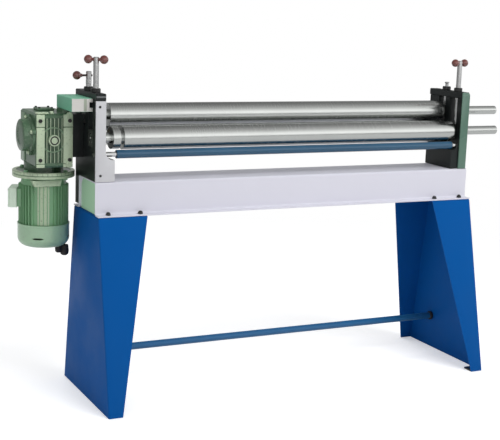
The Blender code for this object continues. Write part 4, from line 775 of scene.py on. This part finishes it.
screw_lead, thread_turns = 0.004, 3
thread_bases = {0.055: cap_top + 0.0134, 0.1275: cap_top + 0.0222}
for name, side, deep, base, top, bar_height, turn, reaches in (
        ("left_front_screw", "left", 0.055, 0.8923, 1.129, 1.121, -29.0, (-0.0252, 0.0252)),
        ("right_front_screw", "right", 0.055, 0.8923, 1.129, 1.121, 13.0, (-0.0252, 0.0252)),
        ("left_rear_screw", "left", 0.1275, 0.9583, 1.079, 1.0655, 0.0, (-0.04,))):
    middle = spot(frame_middles[side], deep, 0.0)
    shank = turned_part([(0.0, base), (screw_radius - 0.001, base), (screw_radius, base + 0.001),
                         (screw_radius, top - 0.0016), (screw_radius - 0.0016, top),
                         (0.0035, top), (0.0, top - 0.0025)], place=middle)
    thread = threaded(screw_radius - 0.0001, screw_lead, 0.0007, thread_bases[deep],
                      thread_turns, middle)
    finished(name + "_turned", joined(shank, thread), screw_steel, name, body=name)
    aim = Vector((math.cos(math.radians(turn)), math.sin(math.radians(turn)), 0.0))
    far = max(reaches) - ball_radius / 2.0 if max(reaches) > 0.0 else screw_radius + 0.003
    near = min(reaches) + ball_radius / 2.0
    crossing = Vector((middle.x, middle.y, bar_height))
    bar = turned_part([(0.0, near), (stem_radius, near), (stem_radius, far - 0.0006),
                       (stem_radius - 0.0006, far), (0.0, far)], aim, crossing, 24)
    finished(name + "_cross_bar", bar, bar_dark, body=name)
    for knob_number, reach in enumerate(reaches, start=1):
        facing = aim if reach > 0.0 else -aim
        knob = ball_knob(crossing + aim * reach, facing)
        node = "%s_knob_%d" % (name, knob_number)
        finished(node + "_turned", knob, knob_red, node, body=name)
pin_place = spot(frame_middles["right"], 0.1275, 0.0)
pin_shoulder = cap_top + 0.013
pin = turned_part([(0.0, 0.9583), (screw_radius, 0.9583), (screw_radius, pin_shoulder),
                   (0.006, pin_shoulder + 0.0006), (0.006, 1.04), (0.008, 1.042),
                   (0.0085, 1.0425), (0.0085, 1.045), (0.0075, 1.046), (0.0, 1.046)],
                  place=pin_place, sides=40)
finished("right_rear_screw_turned", pin, screw_steel, "right_rear_screw", body="right_rear_screw")

# Gearbox
# Cast iron worm gearbox in glossy green enamel. Ribs stand in the hollow between two posts on
# its front; the posts' pads, the ribs' crests, the oil plug's boss and head and the rings under the
# front bolts are pale green as a painted highlight.
casting_green = sprayed_paint("casting_green_enamel", (0.06, 0.125, 0.066), 0.3,
                              grain=420.0, relief=0.05, drift=0.3, coat=0.35,
                              speck=(0.22, 0.27, 0.19))
# Pale green that stands in for light caught on the glossy paint: a painted highlight.
highlight_green = sprayed_paint("rubbed_green_enamel", (0.46, 0.56, 0.39), 0.34,
                          grain=420.0, relief=0.04, drift=0.16, coat=0.3, speck=(0.16, 0.22, 0.14))
mid_green = sprayed_paint("cover_green_enamel", (0.17, 0.28, 0.17), 0.3,
                          grain=420.0, relief=0.04, drift=0.25, coat=0.35,
                          speck=(0.3, 0.36, 0.26))
dressed(casting_green, "gearbox_housing", "gearbox_worm_cover")
box_front, box_left, box_top = 0.1175, -0.1605, 0.943
pads = []
for post_left, post_right in ((-0.159, -0.1322), (-0.07, -0.0386)):
    for pad_bottom, pad_top in ((0.769, 0.7795), (0.7815, 0.8985), (0.901, 0.9405)):
        pads.append(eased_block(spot(post_left, box_front - 0.0022, pad_bottom),
                                spot(post_right, box_front + 0.001, pad_top), 0.0011))
pads.append(eased_block(spot(-0.159, 0.119, box_top - 0.001),
                        spot(-0.118, 0.137, box_top + 0.0042), 0.001))
pads.append(eased_block(spot(-0.1125, 0.12, box_top - 0.001),
                        spot(-0.1016, 0.131, box_top + 0.0075), 0.001))
for boss_z in (0.9385, 0.7795):
    pads.append(turned_part([(0.0, 0.0), (0.0105, 0.0), (0.0105, 0.0042), (0.0098, 0.005),
                             (0.0045, 0.005), (0.0042, 0.003), (0.0, 0.003)], (0, -1, 0),
                            spot(-0.0505, box_front, boss_z), 32))
finished("gearbox_front_pads", joined(*pads), highlight_green)
rib_pitch, rib_first = 0.0125, -0.12425
crest = eased_block(Vector((-0.0011, -0.0008, 0.7835)), Vector((0.0011, 0.0016, 0.933)), 0.0005)
in_rows("gearbox_rib_crests", crest, highlight_green, spot(rib_first, box_front + 0.001, 0.0), 5,
        (rib_pitch, 0.0, 0.0))
ring_middle = spot(-0.1028, box_front, 0.8583)
cover_ring = turned_part([(0.0375, -0.005), (0.0415, -0.005), (0.0415, 0.0008),
                          (0.0408, 0.0016), (0.0382, 0.0016), (0.0375, 0.0008)], (0, -1, 0),
                         ring_middle, 72)
finished("gearbox_cover_ring", cover_ring, mid_green)
plug_middle = spot(-0.101, box_front, 0.8567)
boss = turned_part([(0.0, -0.005), (0.0185, -0.005), (0.0185, 0.0075), (0.0178, 0.0084),
                    (0.015, 0.0084), (0.0145, 0.0062), (0.0, 0.0062)], (0, -1, 0), plug_middle)
finished("oil_plug_boss", boss, highlight_green, "gearbox_oil_plug")
washer = turned_part(ring_profile(0.009, 0.0142, 0.006, 0.0068), (0, -1, 0), plug_middle)
finished("oil_plug_washer", washer, dark_steel)
plug_head = joined(turned_part([(0.0, 0.0055), (0.0102, 0.0055), (0.0102, 0.0074),
                                (0.0095, 0.008), (0.0, 0.008)], (0, -1, 0), plug_middle),
                   turned_part([(0.0, 0.0075), (0.0052, 0.0075), (0.0052, 0.0088),
                                (0.0046, 0.0092), (0.0, 0.0092)], (0, -1, 0), plug_middle, 6))
finished("oil_plug_head", plug_head, highlight_green)
spot_face = turned_part([(0.0066, 0.0), (0.009, 0.0), (0.009, 0.001), (0.0084, 0.0014),
                         (0.0066, 0.0014)], (0, -1, 0), sides=32)
for name, part, material in (
        ("gearbox_front_bolts", socket_screw(0.0062, 0.004, 0.0034, (0, -1, 0)), dark_steel),
        ("gearbox_spot_faces", spot_face, highlight_green)):
    in_rows(name, part, material, spot(-0.1469, box_front - 0.0022, 0.7932), 2,
            (0.0975, 0.0, 0.0), 2, (0.0, 0.0, 0.127))

# Gearbox side cover
# Round cast cover over the wheel's chamber, with four bolted lugs on its rim and a flat hub.
circle_tree, given, finish = new_tree(
    "parts on a circle", ("Count", "Int", 4), ("Radius", "Float", 0.05),
    ("First Angle", "Float", 0.0), ("Step", "Float", 1.5707963), ("Left Out 1", "Int", -1),
    ("Left Out 2", "Int", -1))
number = add_node(circle_tree, "GeometryNodeInputIndex")
points = add_node(circle_tree, "GeometryNodePoints", (given, "Count"))
outward = add_node(circle_tree, "ShaderNodeCombineXYZ", (given, "Radius"))
moved_out = add_node(circle_tree, "GeometryNodeTransform", (given, "Geometry"),
                     Translation=outward)
angle = add_node(circle_tree, "ShaderNodeMath", number, (given, "Step"), (given, "First Angle"),
                 operation="MULTIPLY_ADD")
upright = add_node(circle_tree, "ShaderNodeCombineXYZ", Z=angle)
rotation = add_node(circle_tree, "FunctionNodeEulerToRotation", upright)
tests = [add_node(circle_tree, "FunctionNodeCompare", data_type="INT", operation="NOT_EQUAL",
                  A=number, B=(given, left_out)) for left_out in ("Left Out 1", "Left Out 2")]
kept = add_node(circle_tree, "FunctionNodeBooleanMath", *tests, operation="AND")
copies = add_node(circle_tree, "GeometryNodeInstanceOnPoints", points, kept, moved_out,
                  Rotation=rotation)
feed(finish, add_node(circle_tree, "GeometryNodeRealizeInstances", copies))


cover_middle = spot(box_left, 0.1775, 0.87)
cover_radius, cover_reach = 0.052, 0.0365
cover = turned_part([(0.0, 0.0003), (0.0585, 0.0003), (0.0585, 0.0088), (0.0573, 0.01),
                     (0.0545, 0.01), (cover_radius, 0.0125), (cover_radius, 0.0325),
                     (0.0508, 0.035), (0.048, cover_reach), (0.03, cover_reach),
                     (0.029, cover_reach - 0.0012), (0.0, cover_reach - 0.0012)], (-1, 0, 0),
                    cover_middle, 96)
lug = turned_part([(0.0, 0.0003), (0.01, 0.0003), (0.01, 0.0112), (0.009, 0.0122),
                   (0.0, 0.0122)], sides=32)
lug_sizes = {"Count": 4, "Radius": 0.057, "First_Angle": math.radians(15.0),
             "Step": math.radians(90.0)}
lugs = aimed(grown(lug, circle_tree, casting_green, **lug_sizes), (-1, 0, 0), cover_middle)
finished("side_cover_casting", joined(cover, lugs), casting_green, "gearbox_side_cover")
# The lug bolts are pale green as a painted highlight.
lug_bolt = hexagon_bolt(0.0058, (0, 0, 1))
lug_bolts = grown(shifted(lug_bolt, Vector((0, 0, 0.0122))), circle_tree, highlight_green, **lug_sizes)
finished("side_cover_bolts", aimed(lug_bolts, (-1, 0, 0), cover_middle), highlight_green)
side_rib = eased_block(spot(box_left - 0.003, 0.244, 0.776),
                       spot(box_left + 0.001, 0.284, 0.934), 0.0014)
finished("gearbox_side_rib", side_rib, mid_green)
in_rows("worm_cover_screws", socket_screw(0.0038, 0.0034, 0.0019, (0, 0, 1)), dark_steel,
        spot(-0.1203, 0.2195, 0.9513), 2, (0.042, 0.0, 0.0), 2, (0.0, 0.042, 0.0))

# Torque bracket
# Block bolted between the gearbox and the left frame, sprayed in a bluer green. Its front is a
# pale face, painted light where the lamp falls on the block's front, with a notch at the frame's
# side.
bracket_green = sprayed_paint("bracket_green_enamel", (0.14, 0.43, 0.275), 0.4,
                              drift=0.15)
# Pale front face: painted light, a lit copy of the bracket's green.
bracket_lit_pale = sprayed_paint("bracket_pale_enamel", (0.62, 0.61, 0.575), 0.42,
                             drift=0.08)
dressed(bracket_green, "torque_bracket")
face_low, face_high, notch_low, notch_high, notch_left = 0.958, 0.9985, 0.96925, 0.98725, -0.0123
face_outline = [(-0.07, face_low), (-0.0014, face_low), (-0.0014, notch_low),
                (notch_left, notch_low), (notch_left, notch_high), (-0.0014, notch_high),
                (-0.0014, face_high), (-0.07, face_high)]
face = flat_shape(face_outline, 0.001, spot(0.0, 0.0296, 0.0), 0.0)
finished("bracket_front_face", face, bracket_lit_pale)
band = eased_block(spot(-0.031, 0.0286, face_low + 0.001),
                   spot(-0.0215, 0.0293, face_high - 0.001), 0.0002)
band_green = sprayed_paint("band_green_enamel", (0.33, 0.37, 0.3), 0.42,
                           drift=0.12)
finished("bracket_front_band", band, band_green)

# Adapter and drive
# Black block between the gearbox and the left frame, and the parts that turn inside: bronze worm
# wheel, steel worm shaft, the motor's laminated rotor and its plastic fan.
dressed(frame_black, "gearbox_adapter")
dressed(bush_bronze, "worm_wheel")
dressed(screw_steel, "worm_shaft")
laminated = turned_metal("laminations", (0.25, 0.25, 0.26), 0.5, "Z", 0.4)
dressed(laminated, "motor_rotor")
fan_plastic = sprayed_paint("black_plastic", (0.02, 0.02, 0.02), 0.5, drift=0.1)
dressed(fan_plastic, "motor_fan")

# Motor flange
# The gearbox's round foot and the motor's front end shield, bolted rim to rim. A flat web
# carries the shield's front down to the fins. The two rims and the web are pale green as a painted
# highlight.
motor_middle = spot(-0.0993, 0.2405, 0.0)
motor_green = sprayed_paint("motor_green_enamel", (0.205, 0.4, 0.22), 0.3,
                            grain=420.0, relief=0.05, drift=0.25, coat=0.3,
                            speck=(0.26, 0.36, 0.24))
rim_radius, shield_radius, shaft_hole = 0.103, 0.075, 0.0113
shield_bottom, lip_bottom, shield_top, foot_bottom, foot_top = 0.6996, 0.725, 0.735, 0.7356, 0.7462
rim_ring = turned_part([(0.09, foot_bottom), (rim_radius - 0.0012, foot_bottom),
                        (rim_radius, foot_bottom + 0.0012), (rim_radius, foot_top - 0.002),
                        (rim_radius - 0.0012, foot_top), (0.09, foot_top)],
                       place=motor_middle, sides=96)
finished("gearbox_foot_rim", rim_ring, highlight_green)
shield = turned_part([(shaft_hole, shield_bottom), (shield_radius, shield_bottom),
                      (shield_radius, 0.705), (0.072, 0.717), (0.076, 0.7215), (0.088, 0.7248),
                      (rim_radius - 0.0016, lip_bottom), (rim_radius - 0.0008, 0.7262),
                      (rim_radius - 0.0008, 0.7338), (rim_radius - 0.0016, shield_top),
                      (shaft_hole, shield_top)], place=motor_middle, sides=96)
finished("motor_shield_casting", shield, motor_green, "motor_flange_shield")
shield_rim = turned_part(ring_profile(0.09, rim_radius, 0.7258, 0.7342, 0.0008), place=motor_middle,
                         sides=96)
finished("motor_shield_rim", shield_rim, highlight_green)
web_outline = [(-0.152, 0.7), (-0.066, 0.7), (-0.0615, 0.7207), (-0.162, 0.7207)]
web = flat_shape(web_outline, 0.025, spot(0.0, 0.17, 0.0), 0.0012)
finished("motor_shield_web", web, highlight_green)
for title, facing, level in (("upper", (0, 0, 1), foot_top), ("lower", (0, 0, -1), lip_bottom)):
    ring_bolts = grown(hexagon_bolt(0.007, facing), circle_tree, motor_green, Count=4,
                       Radius=0.091, First_Angle=math.radians(35.0), Step=math.radians(90.0))
    shifted(ring_bolts, motor_middle + Vector((0.0, 0.0, level)))
    finished("flange_bolts_" + title, ring_bolts, motor_green)

# Motor body
# Aluminium casting with upright cooling fins all round, two left out at the front, and a flat
# pad for the terminal box. A pale green land in the front gap is a painted highlight band.
body_bottom, body_top, core_radius, fin_reach = 0.5678, 0.699, 0.074, 0.0088
core = turned_part(ring_profile(0.0463, core_radius, body_bottom, body_top), place=motor_middle,
                   sides=96)
fin = eased_block(Vector((-0.001, -0.0011, body_bottom)), Vector((fin_reach, 0.0011, body_top)),
                  0.0005, 1)
fins = grown(fin, circle_tree, motor_green, Count=40, Radius=core_radius,
             First_Angle=math.radians(1.7), Step=math.radians(9.0), Left_Out_1=26, Left_Out_2=30)
shifted(fins, motor_middle)
box_turn = Matrix.Translation(motor_middle) @ Matrix.Rotation(math.radians(-22.5), 4, "Z")
box_pad = eased_block(Vector((-0.0835, -0.04, 0.624)), Vector((-0.0607, 0.04, 0.684)),
                      0.001)
box_pad.transform(box_turn)
finished("motor_body_casting", joined(core, fins, box_pad), motor_green, "motor_body")
# Pale land in the fins' gap: a painted highlight band on the motor's front.
front_land = turned_part(ring_profile(core_radius, 0.0792, 0.569, 0.698), sides=120)
land_builder = bmesh.new()
land_builder.from_mesh(front_land)
for first_cut, last_cut in ((math.radians(239.5), True), (math.radians(267.5), False)):
    cut_normal = Vector((-math.sin(first_cut), math.cos(first_cut), 0.0))
    cut_geometry = list(land_builder.verts) + list(land_builder.edges) + list(land_builder.faces)
    bmesh.ops.bisect_plane(land_builder, geom=cut_geometry, plane_co=(0, 0, 0),
                           plane_no=cut_normal, clear_inner=last_cut, clear_outer=not last_cut)
    rims = [edge for edge in land_builder.edges if edge.is_boundary]
    bmesh.ops.holes_fill(land_builder, edges=rims)
land_builder.transform(Matrix.Translation(motor_middle))
finished("motor_front_land", mesh_of(land_builder), highlight_green)

# Fan cowl
# Deep drawn sheet cowl over the fan, with oval slots round its wall and under its floor for the
# air, and a rolled rim.
slot_tree, given, finish = new_tree(
    "slots round a shell", ("Count", "Int", 8), ("First Angle", "Float", 0.0),
    ("Radius", "Float", 0.05), ("Height", "Float", 0.0), ("Length", "Float", 0.03),
    ("Width", "Float", 0.006), ("Depth", "Float", 0.02), ("Turn", "Vector", (0.0, 0.0, 0.0)))
cutter = add_node(slot_tree, "GeometryNodeMeshCylinder", Vertices=24, Radius=0.5, Depth=1.0)
cutter_size = add_node(slot_tree, "ShaderNodeCombineXYZ", (given, "Length"), (given, "Width"),
                       (given, "Depth"))
scaled = add_node(slot_tree, "GeometryNodeTransform", cutter, Scale=cutter_size)
raised = add_node(slot_tree, "ShaderNodeCombineXYZ", Z=(given, "Height"))
laid = add_node(slot_tree, "GeometryNodeTransform", scaled, Translation=raised,
                Rotation=(given, "Turn"))
even_step = add_node(slot_tree, "ShaderNodeMath", math.tau, (given, "Count"), operation="DIVIDE")
cutters = add_node(slot_tree, "GeometryNodeGroup", node_tree=circle_tree, Geometry=laid,
                   Count=(given, "Count"), Radius=(given, "Radius"),
                   First_Angle=(given, "First Angle"), Step=even_step)
pierced = add_node(slot_tree, "GeometryNodeMeshBoolean", operation="DIFFERENCE",
                   Mesh_1=(given, "Geometry"), Mesh_2=cutters)
feed(finish, pierced)
cowl_green = sprayed_paint("cowl_green_enamel", (0.32, 0.49, 0.325), 0.26,
                           grain=420.0, relief=0.03, drift=0.35, coat=0.45,
                           speck=(0.3, 0.36, 0.28))
cowl_radius, cowl_wall, cowl_bottom, cowl_corner, cowl_rim = 0.086, 0.0018, 0.49, 0.03, 0.5675
cowl_outside = [(cowl_radius + 0.0008, cowl_rim), (cowl_radius + 0.0008, cowl_rim - 0.005),
                (cowl_radius, cowl_rim - 0.006)]
cowl_outside += arc_points(cowl_radius - cowl_corner, cowl_bottom + cowl_corner, cowl_corner, 0,
                           -90, 12)
cowl_inside = [(0.0, cowl_bottom + cowl_wall)]
cowl_inside += arc_points(cowl_radius - cowl_corner, cowl_bottom + cowl_corner,
                          cowl_corner - cowl_wall, -90, 0, 12)
cowl_inside.append((cowl_radius - cowl_wall, cowl_rim))
shell = turned_part(cowl_inside + cowl_outside + [(0.0, cowl_bottom)], sides=120)
shell = grown(shell, slot_tree, cowl_green, Count=4, First_Angle=math.radians(241.4),
              Radius=cowl_radius, Height=0.524, Length=0.037, Width=0.0065, Depth=0.02,
              Turn=(math.pi / 2.0, 0.0, math.pi / 2.0))
shell = grown(shell, slot_tree, cowl_green, Count=8, First_Angle=math.radians(22.5),
              Radius=0.038, Height=cowl_bottom, Length=0.03, Width=0.008, Depth=0.012)
shifted(shell, motor_middle)
finished("fan_cowl_shell", shell, cowl_green, "motor_fan_cowl")
dressed(motor_green, "motor_rear_shield")
# Two black lumps under the cowl's floor are painted shadow: dark pieces set where shade falls below
# the motor.
shadow_lumps_black = sprayed_paint("black_rubber", (0.012, 0.01, 0.011), 0.6,
                             drift=0.2)
bumps = []
for across, deep, profile in (
        (-0.034, 0.215, [(0.0, 0.454), (0.0085, 0.455), (0.0135, 0.46), (0.015, 0.47),
                           (0.013, 0.4902), (0.0, 0.4902)]),
        (-0.056, 0.212, [(0.0, 0.465), (0.007, 0.4658), (0.0105, 0.47), (0.0115, 0.48),
                           (0.01, 0.4902), (0.0, 0.4902)])):
    bumps.append(turned_part(profile, place=spot(across, deep, 0.0), sides=28))
finished("cowl_rubber_buffer", joined(*bumps), shadow_lumps_black)

# Terminal box
# Cast box on the motor's left side, turned a little to the rear, with a flat lid held by four
# screws and a black cable gland in its rear wall.
box_green = sprayed_paint("terminal_green_enamel", (0.66, 0.79, 0.65), 0.34,
                          drift=0.12, relief=0.03, coat=0.2)
dressed(box_green, "terminal_box", "terminal_box_lid")
lid_screws = grown(socket_screw(0.003, 0.0012, 0.0015, (-1, 0, 0)), row_tree, dark_steel,
                   Columns=2, Rows=2, Column_Step=(0.0, 0.07, 0.0), Row_Step=(0.0, 0.0, 0.051))
shifted(lid_screws, Vector((-0.112, -0.035, 0.6285)))
lid_screws.transform(box_turn)
finished("lid_screws", lid_screws, dark_steel)
dressed(dark_steel, "cable_gland")
